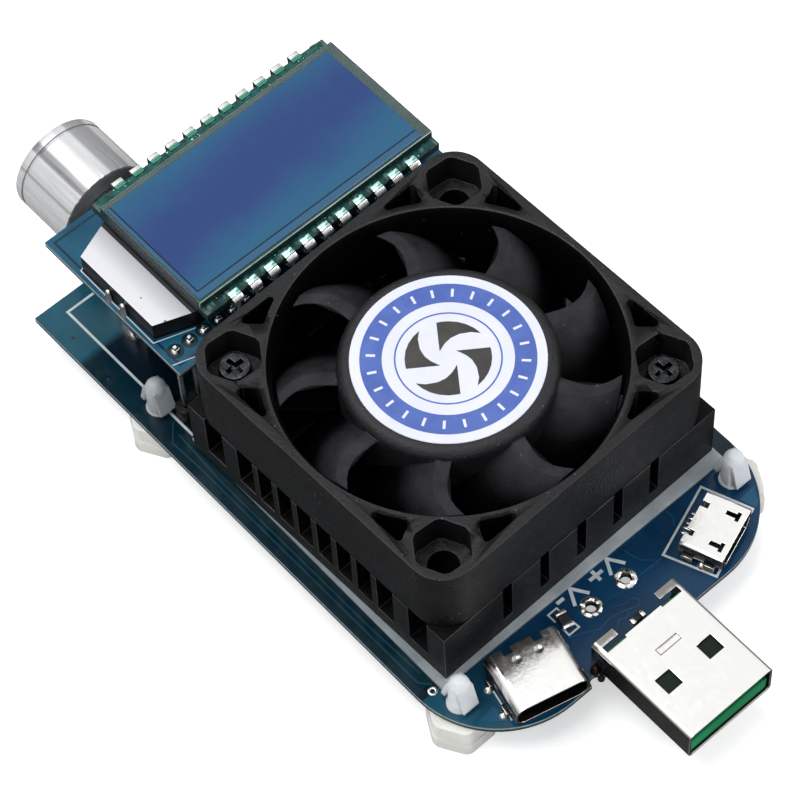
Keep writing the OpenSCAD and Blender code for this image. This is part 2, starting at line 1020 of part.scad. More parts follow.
module backlight_leads() {
    color("silver")
        for (side = [-0.5, 0.5])
            translate([glass_left - light_end - light_lead_d / 2, light_near + light_d / 2, z_light])
                translate([0, side * light_lead_pitch, 0])
                    cylinder(d = light_lead_d, h = film_t + light_t / 2, $fn = 24);
}

// Segment glass: two panes with a film below and above, gripped by clip pins along both long edges

module lcd_rear_film() {
    color("#7b8793")
        translate([glass_left + film_inset, front_near + film_inset, z_rear - film_t])
            cube([glass_w - 2 * film_inset, glass_d - 2 * film_inset, film_t]);
}

module lcd_rear_glass() {
    color("#6f9a9a")
        translate([glass_left, rear_near, z_rear])
            cube([glass_w, rear_d, glass_t]);
}

module lcd_front_glass() {
    color("#7fb0b0")
        translate([glass_left, front_near, z_front])
            cube([glass_w, glass_d, glass_t]);
}

module lcd_front_film() {
    color("#3a5f95")
        translate([glass_left + film_inset, front_near + film_inset, z_front + glass_t])
            cube([glass_w - 2 * film_inset, glass_d - 2 * film_inset, film_t]);
}

// One clip: two prongs hold the glass edge, the web joins them outside and the leg drops through the board
module clip() {
    grip_top = z_front + clip_t;
    grip_foot = z_rear - clip_t;
    leg_foot = z_display - pin_tail;
    for (z = [grip_foot, z_front])
        translate([-clip_w / 2, -clip_t / 2, z])
            cube([clip_w, clip_t + clip_grip, clip_t]);
    translate([-clip_w / 2, -clip_t / 2, grip_foot])
        cube([clip_w, clip_t, grip_top - grip_foot]);
    translate([-clip_leg / 2, -clip_t / 2, leg_foot])
        cube([clip_leg, clip_t, grip_top - leg_foot]);
}

module lcd_clips_near() {
    color("#dfe5e2")
        at_clips(clip_near_y)
            clip();
}

module lcd_clips_far() {
    color("#dfe5e2")
        at_clips(clip_far_y)
            rotate([0, 0, 180])
                clip();
}

// Hard resin that locks the clips, one bead in each space between two of them
module resin_beads(y, depth, back) {
    for (i = [0 : clip_count - 2])
        translate([glass_x + (i + 1 - clip_count / 2) * clip_pitch - resin_w / 2, y, z_front])
            translate([0, back ? -depth : 0, 0])
                cube([resin_w, depth, clip_t]);
}

module lcd_clip_resin() {
    color("#1f8f7c")
        union() {
            resin_beads(rear_near, clip_grip, false);
            resin_beads(rear_near + rear_d, clip_grip, true);
        }
}

// Rotary encoder, lying on the board with its shaft to the back, and the knob

module knob_axis() {
    translate([-knob_x, 0, z_knob])
        rotate([-90, 0, 0])
            children();
}

module encoder_case() {
    lug_top = z_top + lug_rise;
    lug_foot = foot_h - pin_tail;
    color("#a9adb1")
        union() {
            difference() {
                translate([-knob_x - case_w / 2, case_back, z_top])
                    cube([case_w, case_d, case_h]);
                knob_axis()
                    translate([0, 0, case_back + case_wall])
                        cylinder(r = bushing_r + fit, h = case_d);
            }
            at_lugs()
                translate([-lug_t / 2, -lug_w / 2, lug_foot])
                    cube([lug_t, lug_w, lug_top - lug_foot]);
        }
}

module encoder_bushing() {
    inner = encoder_shaft_d / 2 + run;
    color("#b9bdc0")
        knob_axis()
            translate([0, 0, case_front - bushing_in])
                ring(bushing_r, inner, bushing_end - case_front + bushing_in);
}

module encoder_pins() {
    color("#d8d3c2")
        at_encoder_pins()
            translate([-encoder_pin / 2, -encoder_pin / 2, foot_h - pin_tail]) {
                cube([encoder_pin, encoder_pin, z_top + 2 - foot_h + pin_tail]);
                translate([0, 0, z_top + 2 - foot_h + pin_tail - encoder_pin])
                    cube([encoder_pin, 1.5 * encoder_pin, encoder_pin]);
            }
}

module encoder_plunger() {
    gap = push_travel + plunger_gap;
    color("#2b2c2e")
        knob_axis()
            translate([0, 0, case_back + case_wall + gap])
                cylinder(r = plunger_r, h = shaft_in - case_back - case_wall - gap);
}

module flat_shaft_section(play) {
    intersection() {
        circle(encoder_shaft_d / 2 + play);
        translate([-encoder_shaft_d, -encoder_shaft_d])
            square([2 * encoder_shaft_d, encoder_shaft_d + shaft_flat + play]);
    }
}

module encoder_shaft() {
    color("#c3c6c8")
        knob_axis() {
            translate([0, 0, shaft_in])
                cylinder(d = encoder_shaft_d, h = flat_from - shaft_in);
            translate([0, 0, flat_from])
                linear_extrude(knob_far - knob_cap - flat_from)
                    flat_shaft_section(0);
        }
}

module knob() {
    barrel_r = knob_d / 2;
    lip_z = knob_len - knob_lip;
    color("#cfd1d3")
        knob_axis()
            translate([0, 0, knob_near])
                difference() {
                    rotate_extrude($fn = 96)
                        polygon([
                            [0, 0], [barrel_r, 0],
                            [barrel_r, lip_z - knob_ring], [barrel_r - knob_ring, lip_z],
                            [barrel_r, lip_z + knob_ring], [barrel_r, knob_len - 2 * knob_ring],
                            [barrel_r - 2 * knob_ring, knob_len], [0, knob_len]
                        ]);
                    translate([0, 0, -over])
                        cylinder(r = knob_recess_r, h = knob_recess + over);
                    linear_extrude(knob_len - knob_cap)
                        flat_shaft_section(fit);
                    for (i = [0 : knob_flutes - 1])
                        rotate([0, 0, i * 360 / knob_flutes])
                            translate([barrel_r + flute_r / 3, 0, -over])
                                cylinder(r = flute_r, h = lip_z - 2 * knob_ring + over, $fn = 16);
                }
}

// Plug: a folded shell with two windows, a dimple and two slots at the back, and a tongue with four contacts

module plug_place() {
    translate([-plug_x, 0, z_top + plug_h / 2])
        children();
}

module usb_plug_shell() {
    color("#d9d5cf")
        plug_place()
            difference() {
                along_y(plug_front, plug_back)
                    difference() {
                        rounded_square(plug_w, plug_h, plug_round);
                        rounded_square(plug_w - 2 * sheet_t, plug_h - 2 * sheet_t, plug_round - sheet_t / 2);
                    }
                for (side = [-1, 1]) {
                    translate([side * plug_window_x - plug_window / 2, plug_front + plug_window_from, -plug_h])
                        cube([plug_window, plug_window, 2 * plug_h]);
                    translate([side * plug_slot_x - plug_slot_w / 2, plug_back - plug_slot_from - plug_slot_lead, 0])
                        cube([plug_slot_w, plug_slot_d, plug_h]);
                }
                translate([-plug_w / 4, plug_back - plug_slot_from, 0])
                    cube([plug_w / 2, plug_h, plug_h]);
                translate([-dimple_w / 2, plug_front + dimple_from, plug_h / 2 - sheet_t / 2])
                    cube([dimple_w, dimple_d, sheet_t]);
            }
}

module usb_plug_tongue() {
    inner_w = plug_w - 2 * sheet_t - 2 * fit;
    inner_h = plug_h - 2 * sheet_t - 2 * fit;
    inner_r = plug_round - sheet_t / 2;
    foot = -inner_h / 2;
    core = 2;
    core_end = plug_back - plug_slot_from - fit;
    color("#2f9a63")
        plug_place() {
            along_y(plug_front + tongue_set_back, core_end)
                intersection() {
                    rounded_square(inner_w, inner_h, inner_r);
                    translate([-inner_w, foot])
                        square([2 * inner_w, tongue_h]);
                }
            along_y(core_end - core, core_end)
                rounded_square(inner_w, inner_h, inner_r);
        }
}

module usb_plug_contacts() {
    color("#c9a54a")
        plug_place()
            for (x = contact_xs)
                translate([x - contact_w / 2, plug_front + 1.2, sheet_t + fit - plug_h / 2 + tongue_h])
                    cube([contact_w, contact_len, contact_t]);
}

// Sockets: shells with tabs on the board, and an insulator with a tongue inside

module socket_tabs(w, len) {
    for (sx = [-1, 1], sy = [0.28, 0.78])
        translate([sx * (w / 2 + tab_t / 2) - tab_t / 2, sy * len - len / 2 - tab_len / 2, 0])
            cube([tab_t, tab_len, tab_rise]);
}

module reversible_place() {
    translate([c_at.x, c_at.y, z_top])
        rotate([0, 0, socket_c_turn])
            children();
}

module reversible_socket_shell() {
    color("#cfccc6")
        reversible_place() {
            translate([0, 0, socket_c_h / 2])
                difference() {
                    along_y(-socket_c_len / 2, socket_c_len / 2)
                        difference() {
                            rounded_square(socket_c_w, socket_c_h, c_round);
                            rounded_square(socket_c_w - 2 * sheet_t, socket_c_h - 2 * sheet_t, c_round - sheet_t);
                        }
                    for (side = [-1, 1]) {
                        translate([side * c_dimple_x, socket_c_len / 2 - c_dimple_from, socket_c_h / 2 - sheet_t / 2])
                            cylinder(r = c_dimple_r, h = sheet_t);
                        translate([side * c_notch_x - c_notch_w / 2, socket_c_len / 2 - c_notch_d, 0])
                            cube([c_notch_w, 2 * c_notch_d, socket_c_h]);
                    }
                }
            difference() {
                socket_tabs(socket_c_w, socket_c_len);
                translate([0, socket_c_len, socket_c_h / 2])
                    along_y(-2 * socket_c_len, 0)
                        rounded_square(socket_c_w, socket_c_h, c_round);
            }
        }
}

module reversible_socket_tongue() {
    inner_w = socket_c_w - 2 * (sheet_t + fit);
    inner_h = socket_c_h - 2 * (sheet_t + fit);
    color("#17181a")
        reversible_place()
            translate([0, 0, socket_c_h / 2]) {
                along_y(socket_c_len / 2 - core_depth, socket_c_len / 2 - 0.9)
                    rounded_square(inner_w, inner_h, c_round - sheet_t - fit);
                along_y(c_tongue_in - socket_c_len / 2, socket_c_len / 2 - core_depth)
                    square([c_tongue_w, c_tongue_t], center = true);
            }
}

module micro_section(w, h) {
    difference() {
        rounded_square(w, h, m_round);
        for (side = [-1, 1])
            translate([side * w / 2, -h / 2])
                rotate(45)
                    square(m_chamfer * sqrt(2), center = true);
    }
}

module micro_place() {
    translate([m_at.x, m_at.y, z_top])
        rotate([0, 0, socket_m_turn])
            children();
}

module t_slot() {
    translate([-slot_stem / 2, 0, 0])
        cube([slot_stem, slot_len, socket_m_h]);
    translate([-slot_bar / 2, 0, 0])
        cube([slot_bar, slot_bar_d, socket_m_h]);
}

module micro_socket_shell() {
    color("#d6d3cd")
        micro_place() {
            translate([0, 0, socket_m_h / 2])
                difference() {
                    along_y(-socket_m_len / 2, socket_m_len / 2)
                        difference() {
                            micro_section(socket_m_w, socket_m_h);
                            micro_section(socket_m_w - 2 * sheet_t, socket_m_h - 2 * sheet_t);
                        }
                    for (side = [-1, 1]) {
                        translate([side * slot_x, slot_from - socket_m_len / 2, 0])
                            t_slot();
                        translate([side * m_notch_x - m_notch_w / 2, socket_m_len / 2 - m_notch_d, 0])
                            cube([m_notch_w, 2 * m_notch_d, socket_m_h]);
                    }
                }
            difference() {
                socket_tabs(socket_m_w, socket_m_len);
                translate([0, socket_m_len, socket_m_h / 2])
                    along_y(-2 * socket_m_len, 0)
                        rounded_square(socket_m_w, socket_m_h, m_round);
            }
        }
}

module micro_socket_tongue() {
    inner_w = socket_m_w - 2 * (sheet_t + fit);
    inner_h = socket_m_h - 2 * (sheet_t + fit);
    color("#17181a")
        micro_place()
            translate([0, 0, socket_m_h / 2]) {
                along_y(socket_m_len / 2 - core_depth, socket_m_len / 2 - 0.95)
                    micro_section(inner_w, inner_h);
                along_y(m_tongue_in - socket_m_len / 2, socket_m_len / 2 - core_depth)
                    translate([0, m_tongue_t / 2])
                        square([m_tongue_w, m_tongue_t], center = true);
            }
}

// Chip parts: a block with end caps, or a moulded block with bent leads along two sides

module chip(size) {
    translate([-size.x / 2, -size.y / 2, 0])
        cube(size);
}

module gull_lead(w) {
    translate([-w / 2, 0, 0]) {
        translate([0, chip_lead_reach - chip_lead_pad, 0])
            cube([w, chip_lead_pad, chip_lead_t]);
        translate([0, chip_lead_reach - chip_lead_pad, 0])
            cube([w, chip_lead_t, chip_lead_rise + chip_lead_t]);
        translate([0, 0, chip_lead_rise])
            cube([w, chip_lead_reach - chip_lead_pad + chip_lead_t, chip_lead_t]);
    }
}

module leaded_chip(size, leads) {
    pitch = size.x / leads;
    translate([-size.x / 2, -size.y / 2, chip_stand])
        cube([size.x, size.y, size.z - chip_stand]);
    for (i = [0 : leads - 1], turn = [0, 180])
        rotate([0, 0, turn])
            translate([(i - (leads - 1) / 2) * pitch, size.y / 2, 0])
                gull_lead(pitch * chip_lead_share);
}

// Turns a part upside down and sets it under the board
module under_board(at, turn) {
    translate([at.x, at.y, foot_h])
        rotate([180, 0, turn])
            children();
}

module chip_parts_top() {
    color("#2b2b2d")
        translate([0, 0, z_top]) {
            translate(sense_chip_at)
                rotate([0, 0, sense_chip_turn])
                    chip(chip_size);
            translate([-plug_x + bias_chip_x, plug_back + bias_chip_gap + bias_chip.y / 2, 0])
                chip(bias_chip);
        }
}

module power_transistor() {
    color("#232426")
        under_board(transistor_at, 0) {
            translate([-transistor.x / 2, -transistor.y / 2, 0])
                cube(transistor);
            translate([-transistor_tab.x / 2, transistor.y / 2, 0])
                cube(transistor_tab);
            for (side = [-1, 1])
                translate([side * transistor_pitch / 2, -transistor.y / 2 - transistor_lead.y, 0])
                    translate([-transistor_lead.x / 2, 0, 0])
                        cube(transistor_lead);
        }
}

module shunt_resistor() {
    color("#2e3033")
        under_board(shunt_at, 0)
            chip(shunt);
}

module controller_chip() {
    color("#1f2022")
        under_board(controller_at, 0)
            leaded_chip(controller, 10);
}

module amplifier_chip() {
    color("#1f2022")
        under_board(amplifier_at, 90)
            leaded_chip(amplifier, 4);
}

module regulator_chip() {
    color("#1f2022")
        under_board(regulator_at, 0)
            leaded_chip(regulator, 3);
}

module chip_parts_under() {
    color("#8a6a45")
        for (row = [0, 1], i = [0 : 3])
            under_board(chip_grid_at + [row * chip_grid.x, i * chip_grid.y], 0)
                chip(chip_size);
}

placed() main_board();
placed() terminal_eyelets();
placed() snap_feet();
placed() thermal_pad();
placed() heatsink();
placed() fan_frame();
placed() fan_screws();
placed() fan_motor_board();
placed() fan_stator_core();
placed() fan_windings();
placed() fan_bearing();
placed() fan_rotor();
placed() rotor_magnet();
placed() rotor_shaft();
placed() hub_label();
placed() fan_lead_red();
placed() fan_lead_black();
placed() fan_lead_socket();
placed() display_board();
placed() header_strip();
placed() header_pins();
placed() backlight_film();
placed() backlight_plate();
placed() backlight_leads();
placed() lcd_rear_film();
placed() lcd_rear_glass();
placed() lcd_front_glass();
placed() lcd_front_film();
placed() lcd_clips_near();
placed() lcd_clips_far();
placed() lcd_clip_resin();
placed() encoder_case();
placed() encoder_bushing();
placed() encoder_pins();
placed() encoder_plunger();
placed() encoder_shaft();
placed() knob();
placed() usb_plug_shell();
placed() usb_plug_tongue();
placed() usb_plug_contacts();
placed() reversible_socket_shell();
placed() reversible_socket_tongue();
placed() micro_socket_shell();
placed() micro_socket_tongue();
placed() chip_parts_top();
placed() power_transistor();
placed() shunt_resistor();
placed() controller_chip();
placed() amplifier_chip();
placed() regulator_chip();
placed() chip_parts_under();
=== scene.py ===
import math

import bmesh
import bpy
from mathutils import Matrix, Vector, noise


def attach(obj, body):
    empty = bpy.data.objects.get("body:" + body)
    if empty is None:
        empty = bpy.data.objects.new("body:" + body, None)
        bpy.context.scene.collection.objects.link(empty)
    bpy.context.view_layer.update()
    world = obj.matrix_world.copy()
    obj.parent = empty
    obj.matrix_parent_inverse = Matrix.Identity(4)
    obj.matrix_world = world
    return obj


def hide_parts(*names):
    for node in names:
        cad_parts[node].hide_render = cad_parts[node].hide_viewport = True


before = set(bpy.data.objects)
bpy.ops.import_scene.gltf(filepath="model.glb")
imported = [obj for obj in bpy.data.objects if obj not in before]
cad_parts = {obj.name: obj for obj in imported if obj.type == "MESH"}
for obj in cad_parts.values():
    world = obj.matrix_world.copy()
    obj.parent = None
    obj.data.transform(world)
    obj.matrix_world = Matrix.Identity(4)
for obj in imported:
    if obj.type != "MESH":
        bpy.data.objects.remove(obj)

scene = bpy.context.scene
scene.view_settings.view_transform = "Standard"
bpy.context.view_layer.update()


# Camera
# A long lens from the front left, high above the plug end, framed as the photograph is.
# The picture's centre lies a little above and left of the lens axis, hence the shift.
mm = 0.001
turn, height, roll = math.radians(-39.883), math.radians(59.399), math.radians(-2.608)
look_at = Vector((-3.318, -11.17, 13.2)) * mm
reach = 348.264 * mm
away = Vector((math.sin(turn) * math.cos(height), -math.cos(turn) * math.cos(height), math.sin(height)))
level = Vector((math.cos(turn), math.sin(turn), 0))
upright = away.cross(level)
right = level * math.cos(roll) + upright * math.sin(roll)
up = upright * math.cos(roll) - level * math.sin(roll)
lens = bpy.data.cameras.new("camera")
lens.sensor_width = 36
lens.lens = 146.735
lens.shift_x = -0.075
lens.shift_y = 0.075
lens.clip_start = 0.01
camera = bpy.data.objects.new("camera", lens)
stand = Matrix((right, up, away)).transposed().to_4x4()
stand.translation = look_at + away * reach
camera.matrix_world = stand
scene.collection.objects.link(camera)
scene.camera = camera


# Floor, sky and lamps
# A plain white table under a white sky, with one wide soft lamp over the object and two weak ones at its sides.
# Shiny pieces see a bright sky above and a dim surround below it, as they do in a studio with one overhead light.
def paint(name):
    made = bpy.data.materials.new(name)
    made.use_nodes = True
    return made, made.node_tree, made.node_tree.nodes["Principled BSDF"]


def put(tree, kind, inputs=None, **settings):
    made = tree.nodes.new(kind)
    for key, value in settings.items():
        setattr(made, key, value)
    for key, value in (inputs or {}).items():
        if isinstance(value, bpy.types.NodeSocket):
            tree.links.new(value, made.inputs[key])
        else:
            made.inputs[key].default_value = value
    return made


def blend(tree, share, first, second):
    return put(tree, "ShaderNodeMix", {0: share, 2: first, 3: second}).outputs[0]


def calc(tree, operation, *values):
    return put(tree, "ShaderNodeMath", dict(enumerate(values)), operation=operation).outputs[0]


def spread(tree, value, low=0.0, high=1.0, least=0.0, most=1.0, curve="LINEAR"):
    limits = {"Value": value, "From Min": low, "From Max": high, "To Min": least, "To Max": most}
    return put(tree, "ShaderNodeMapRange", limits, interpolation_type=curve).outputs[0]


def vec(tree, operation, *values):
    return put(tree, "ShaderNodeVectorMath", dict(enumerate(values)), operation=operation).outputs


def coords(tree, kind="Object"):
    return put(tree, "ShaderNodeTexCoord").outputs[kind]


def axes(tree, vector=None):
    spot = coords(tree) if vector is None else vector
    return put(tree, "ShaderNodeSeparateXYZ", {"Vector": spot}).outputs


table, tree, skin = paint("table_white")
path = put(tree, "ShaderNodeLightPath").outputs
seen = calc(tree, "MAXIMUM", path["Is Camera Ray"], path["Is Transmission Ray"])
shade = blend(tree, path["Is Glossy Ray"], 0.93, 0.15)
grey = put(tree, "ShaderNodeCombineColor", {0: shade, 1: shade, 2: shade})
tree.links.new(grey.outputs[0], skin.inputs["Base Color"])
skin.inputs["Roughness"].default_value = 0.85
skin.inputs["Specular IOR Level"].default_value = 0.1
skin.inputs["Emission Color"].default_value = (1, 1, 1, 1)
tree.links.new(blend(tree, seen, 0.0, 0.48), skin.inputs["Emission Strength"])
top = bmesh.new()
bmesh.ops.create_grid(top, x_segments=8, y_segments=8, size=3)
bmesh.ops.translate(top, vec=(0, 0, -0.02 * mm), verts=top.verts)
sheet = bpy.data.meshes.new("table")
top.to_mesh(sheet)
top.free()
sheet.materials.append(table)
floor = bpy.data.objects.new("table", sheet)
scene.collection.objects.link(floor)

sky = bpy.data.worlds.new("sky")
sky.use_nodes = True
scene.world = sky
tree = sky.node_tree
tree.nodes.clear()
path = put(tree, "ShaderNodeLightPath").outputs
seen = calc(tree, "MAXIMUM", path["Is Camera Ray"], path["Is Transmission Ray"])
rise = axes(tree, coords(tree, "Generated"))[2]
mirrored = spread(tree, rise, 0.05, 0.6, 0.12, 1.0)
level_of = blend(tree, seen, blend(tree, path["Is Glossy Ray"], 0.42, mirrored), 1.0)
light = put(tree, "ShaderNodeBackground", {"Color": (0.97, 0.985, 1, 1), "Strength": level_of})
put(tree, "ShaderNodeOutputWorld", {"Surface": light.outputs[0]})


def lamp(name, place, size, watts):
    light = bpy.data.lights.new(name, "AREA")
    light.shape = "DISK"
    light.size = size
    light.energy = watts
    held = bpy.data.objects.new(name, light)
    aim = Vector((0, 0, 0.012)) - Vector(place)
    held.matrix_world = Matrix.Translation(place) @ aim.to_track_quat("-Z", "Y").to_matrix().to_4x4()
    scene.collection.objects.link(held)


lamp("wide_lamp", (-0.12, 0.16, 0.62), 0.5, 2.5)
lamp("left_lamp", (-0.5, -0.25, 0.3), 0.3, 0.3)
lamp("right_lamp", (0.45, -0.35, 0.4), 0.3, 1.2)


# Main board
# A 0.8 mm glass fibre board with a deep blue solder mask, routed to shape, its bare edge paler than its faces.
# Copper shows through the mask as lighter lines, patches and filled holes; the white marks are printed on top.
fan_y = -6.05
board_top = 5.2
foil = 0.03


def tone(code):
    parts = [int(code[i:i + 2], 16) / 255 for i in (1, 3, 5)]
    return tuple(p / 12.92 if p <= 0.04045 else ((p + 0.055) / 1.055) ** 2.4 for p in parts) + (1,)


def solid(node, whole=True):
    form = bmesh.new()
    form.from_mesh(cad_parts[node].data)
    bmesh.ops.transform(form, matrix=Matrix.Translation((0, -fan_y, 0)) @ Matrix.Scale(1 / mm, 4), verts=form.verts)
    bmesh.ops.remove_doubles(form, verts=form.verts, dist=0.002)
    bmesh.ops.dissolve_limit(form, angle_limit=math.radians(0.5), verts=form.verts, edges=form.edges)
    if not whole:
        bmesh.ops.triangulate(form, faces=form.faces)
    for face in form.faces:
        face.material_index = 0
    return form


def round_edges(form, width, steps=2, over=25, wear_and_highlight_index=-1, keep=None):
    edges = [e for e in form.edges if len(e.link_faces) == 2 and e.calc_face_angle(0) > math.radians(over)]
    if keep:
        edges = [e for e in edges if keep(e)]
    bmesh.ops.bevel(form, geom=edges, offset=width, offset_type="OFFSET", segments=steps, profile=0.5,
                    affect="EDGES", clamp_overlap=False, material=wear_and_highlight_index, loop_slide=True)


def plain(made):
    flat = bpy.data.meshes.new_from_object(made.evaluated_get(bpy.context.evaluated_depsgraph_get()))
    made.modifiers.clear()
    made.data = flat


def shape(name, form, finishes, smooth=40, even=True):
    bmesh.ops.transform(form, matrix=Matrix.Scale(mm, 4) @ Matrix.Translation((0, fan_y, 0)), verts=form.verts)
    mesh = bpy.data.meshes.new(name)
    form.to_mesh(mesh)
    form.free()
    for finish in finishes:
        mesh.materials.append(finish)
    mesh.polygons.foreach_set("use_smooth", [True] * len(mesh.polygons))
    mesh.set_sharp_from_angle(angle=math.radians(smooth))
    made = bpy.data.objects.new(name, mesh)
    scene.collection.objects.link(made)
    if even:
        made.modifiers.new("even", "WEIGHTED_NORMAL").keep_sharp = True
        plain(made)
    return made


def fit(made, slot, *nodes, body="base"):
    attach(made, body)
    if nodes:
        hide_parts(*nodes)


def piece(name, form, finishes, slot, *nodes, body="base", smooth=40):
    fit(shape(name, form, finishes, smooth), slot, *nodes, body=body)


def ribbon(form, points, width, foot, rise=foil, closed=False, index=0):
    points = [Vector(p) for p in points]
    count = len(points)
    rings = []
    for i, here in enumerate(points):
        before = points[i - 1] if closed or i else None
        after = points[(i + 1) % count] if closed or i < count - 1 else None
        into = (here - before).normalized() if before is not None else (after - here).normalized()
        out = (after - here).normalized() if after is not None else into
        side = Vector((-into.y - out.y, into.x + out.x)).normalized()
        side *= width / 2 / max(0.4, side.dot(Vector((-out.y, out.x))))
        corners = [(here + side, foot), (here - side, foot), (here - side, foot + rise), (here + side, foot + rise)]
        rings.append([form.verts.new((p.x, p.y, z)) for p, z in corners])
    faces = []
    for i in range(count if closed else count - 1):
        a, b = rings[i], rings[(i + 1) % count]
        for k in range(4):
            faces.append(form.faces.new((a[k], b[k], b[(k + 1) % 4], a[(k + 1) % 4])))
    if not closed:
        faces.append(form.faces.new(rings[0]))
        faces.append(form.faces.new(rings[-1][::-1]))
    for face in faces:
        face.material_index = index


def patch(form, points, foot, rise=foil, index=0):
    low = [form.verts.new((x, y, foot)) for x, y in points]
    high = [form.verts.new((x, y, foot + rise)) for x, y in points]
    faces = [form.faces.new(low[::-1]), form.faces.new(high)]
    for i in range(len(points)):
        j = (i + 1) % len(points)
        faces.append(form.faces.new((low[i], low[j], high[j], high[i])))
    bmesh.ops.recalc_face_normals(form, faces=faces)
    for face in faces:
        face.material_index = index


def lathe(form, profile, steps, centre=(0, 0), closed=False):
    rings = []
    for radius, z in profile:
        count = steps if radius > 1e-6 else 1
        spokes = [math.tau * k / steps for k in range(count)]
        ring = [(centre[0] + radius * math.cos(a), centre[1] + radius * math.sin(a), z) for a in spokes]
        rings.append([form.verts.new(corner) for corner in ring])
    faces = []
    for a, b in zip(rings, rings[1:] + rings[:1] if closed else rings[1:]):
        for k in range(steps):
            j = (k + 1) % steps
            corners = [a[k % len(a)], a[j % len(a)], b[j % len(b)], b[k % len(b)]]
            faces.append(form.faces.new(list(dict.fromkeys(corners))))
    bmesh.ops.recalc_face_normals(form, faces=faces)
    return faces


def effect(name, inputs, outputs):
    made = bpy.data.node_groups.new(name, "ShaderNodeTree")
    for label, value in inputs:
        made.interface.new_socket(label, in_out="INPUT", socket_type="NodeSocketFloat").default_value = value
    for label in outputs:
        made.interface.new_socket(label, in_out="OUTPUT", socket_type="NodeSocketFloat")
    return made, made.nodes.new("NodeGroupInput").outputs, made.nodes.new("NodeGroupOutput").inputs


uneven, given, result = effect("uneven", [("Scale", 500), ("Low", 0.3), ("High", 0.7)], ["Value"])
noisy = {"Vector": coords(uneven), "Scale": given["Scale"], "Detail": 5, "Roughness": 0.6}
cloud = put(uneven, "ShaderNodeTexNoise", noisy).outputs["Fac"]
uneven.links.new(spread(uneven, cloud, 0.3, 0.7, given["Low"], given["High"]), result["Value"])

dust_and_glint_specks, given, result = effect("dust_and_glint_specks", [("Scale", 700), ("Share", 0.05)], ["Mask"])
cells = put(dust_and_glint_specks, "ShaderNodeTexVoronoi", {"Vector": coords(dust_and_glint_specks), "Scale": given["Scale"]}).outputs
tint = put(dust_and_glint_specks, "ShaderNodeSeparateColor", {"Color": cells["Color"]}).outputs
chosen = calc(dust_and_glint_specks, "LESS_THAN", tint[0], given["Share"])
inside = calc(dust_and_glint_specks, "LESS_THAN", cells["Distance"], spread(dust_and_glint_specks, tint[1], 0, 1, 0.06, 0.2))
dust_and_glint_specks.links.new(calc(dust_and_glint_specks, "MULTIPLY", chosen, inside), result["Mask"])


def use(tree, group, **values):
    made = tree.nodes.new("ShaderNodeGroup")
    made.node_tree = group
    for key, value in values.items():
        made.inputs[key].default_value = value
    return made.outputs[0]


def cloudy(tree, scale, low=0, high=1):
    return use(tree, uneven, Scale=scale, Low=low, High=high)


def mix(tree, share, first, second):
    return put(tree, "ShaderNodeMix", {0: share, 6: first, 7: second}, data_type="RGBA").outputs[2]


def between(tree, share, deep, bright):
    return mix(tree, share, tone(deep), tone(bright))


def dress(tree, skin, hue, rough):
    tree.links.new(hue, skin.inputs["Base Color"])
    tree.links.new(rough, skin.inputs["Roughness"])


def emboss(tree, skin, height, strength, depth):
    bump = put(tree, "ShaderNodeBump", {"Height": height, "Strength": strength, "Distance": depth * mm})
    tree.links.new(bump.outputs[0], skin.inputs["Normal"])


def lift(tree, skin, scale, strength, depth):
    emboss(tree, skin, cloudy(tree, scale), strength, depth)


def lacquer(name, deep, bright, scale, rough=0.16, gloss=0.3):
    made, tree, skin = paint(name)
    dress(tree, skin, between(tree, cloudy(tree, scale), deep, bright), cloudy(tree, 900, rough * 0.7, rough * 1.4))
    lift(tree, skin, 2600, 0.06, 0.1)
    skin.inputs["Specular IOR Level"].default_value = gloss
    return made


def moulded(name, deep, bright, rough, scale=1500, bumps=0.15, specks=0.0, gloss=0.4):
    made, tree, skin = paint(name)
    hue = between(tree, cloudy(tree, scale / 4), deep, bright)
    if specks:
        hue = mix(tree, use(tree, dust_and_glint_specks, Scale=2600, Share=specks), hue, (0.2, 0.2, 0.2, 1))
    dress(tree, skin, hue, cloudy(tree, scale, rough * 0.85, rough * 1.15))
    skin.inputs["Specular IOR Level"].default_value = gloss
    lift(tree, skin, scale * 3, bumps, 0.05)
    return made


def plated(name, deep, bright, rough, scale=600, bumps=0.05, metal=1.0):
    made, tree, skin = paint(name)
    hue = between(tree, cloudy(tree, scale), deep, bright)
    dress(tree, skin, hue, cloudy(tree, scale * 2, rough * 0.7, rough * 1.4))
    skin.inputs["Metallic"].default_value = metal
    lift(tree, skin, scale * 3, bumps, 0.04)
    return made


def beyond(tree, value, edge):
    return calc(tree, "GREATER_THAN", value, edge * mm)


def cut_edge(name, split):
    made, tree, skin = paint(name)
    fibres = cloudy(tree, 2200)
    # Painted shade: the lower part of the bare edge is darker than its pale upper band.
    dark, pale = between(tree, fibres, "#16262d", "#2b3d42"), between(tree, fibres, "#71868a", "#a9b5b1")
    hue = mix(tree, beyond(tree, axes(tree)[2], split), dark, pale)
    dress(tree, skin, hue, cloudy(tree, 1500, 0.5, 0.7))
    lift(tree, skin, 3000, 0.3, 0.05)
    return made


def board_form(node):
    form = solid(node)
    for face in form.faces:
        if abs(face.normal.z) < 0.5:
            face.material_index = 1
    return form


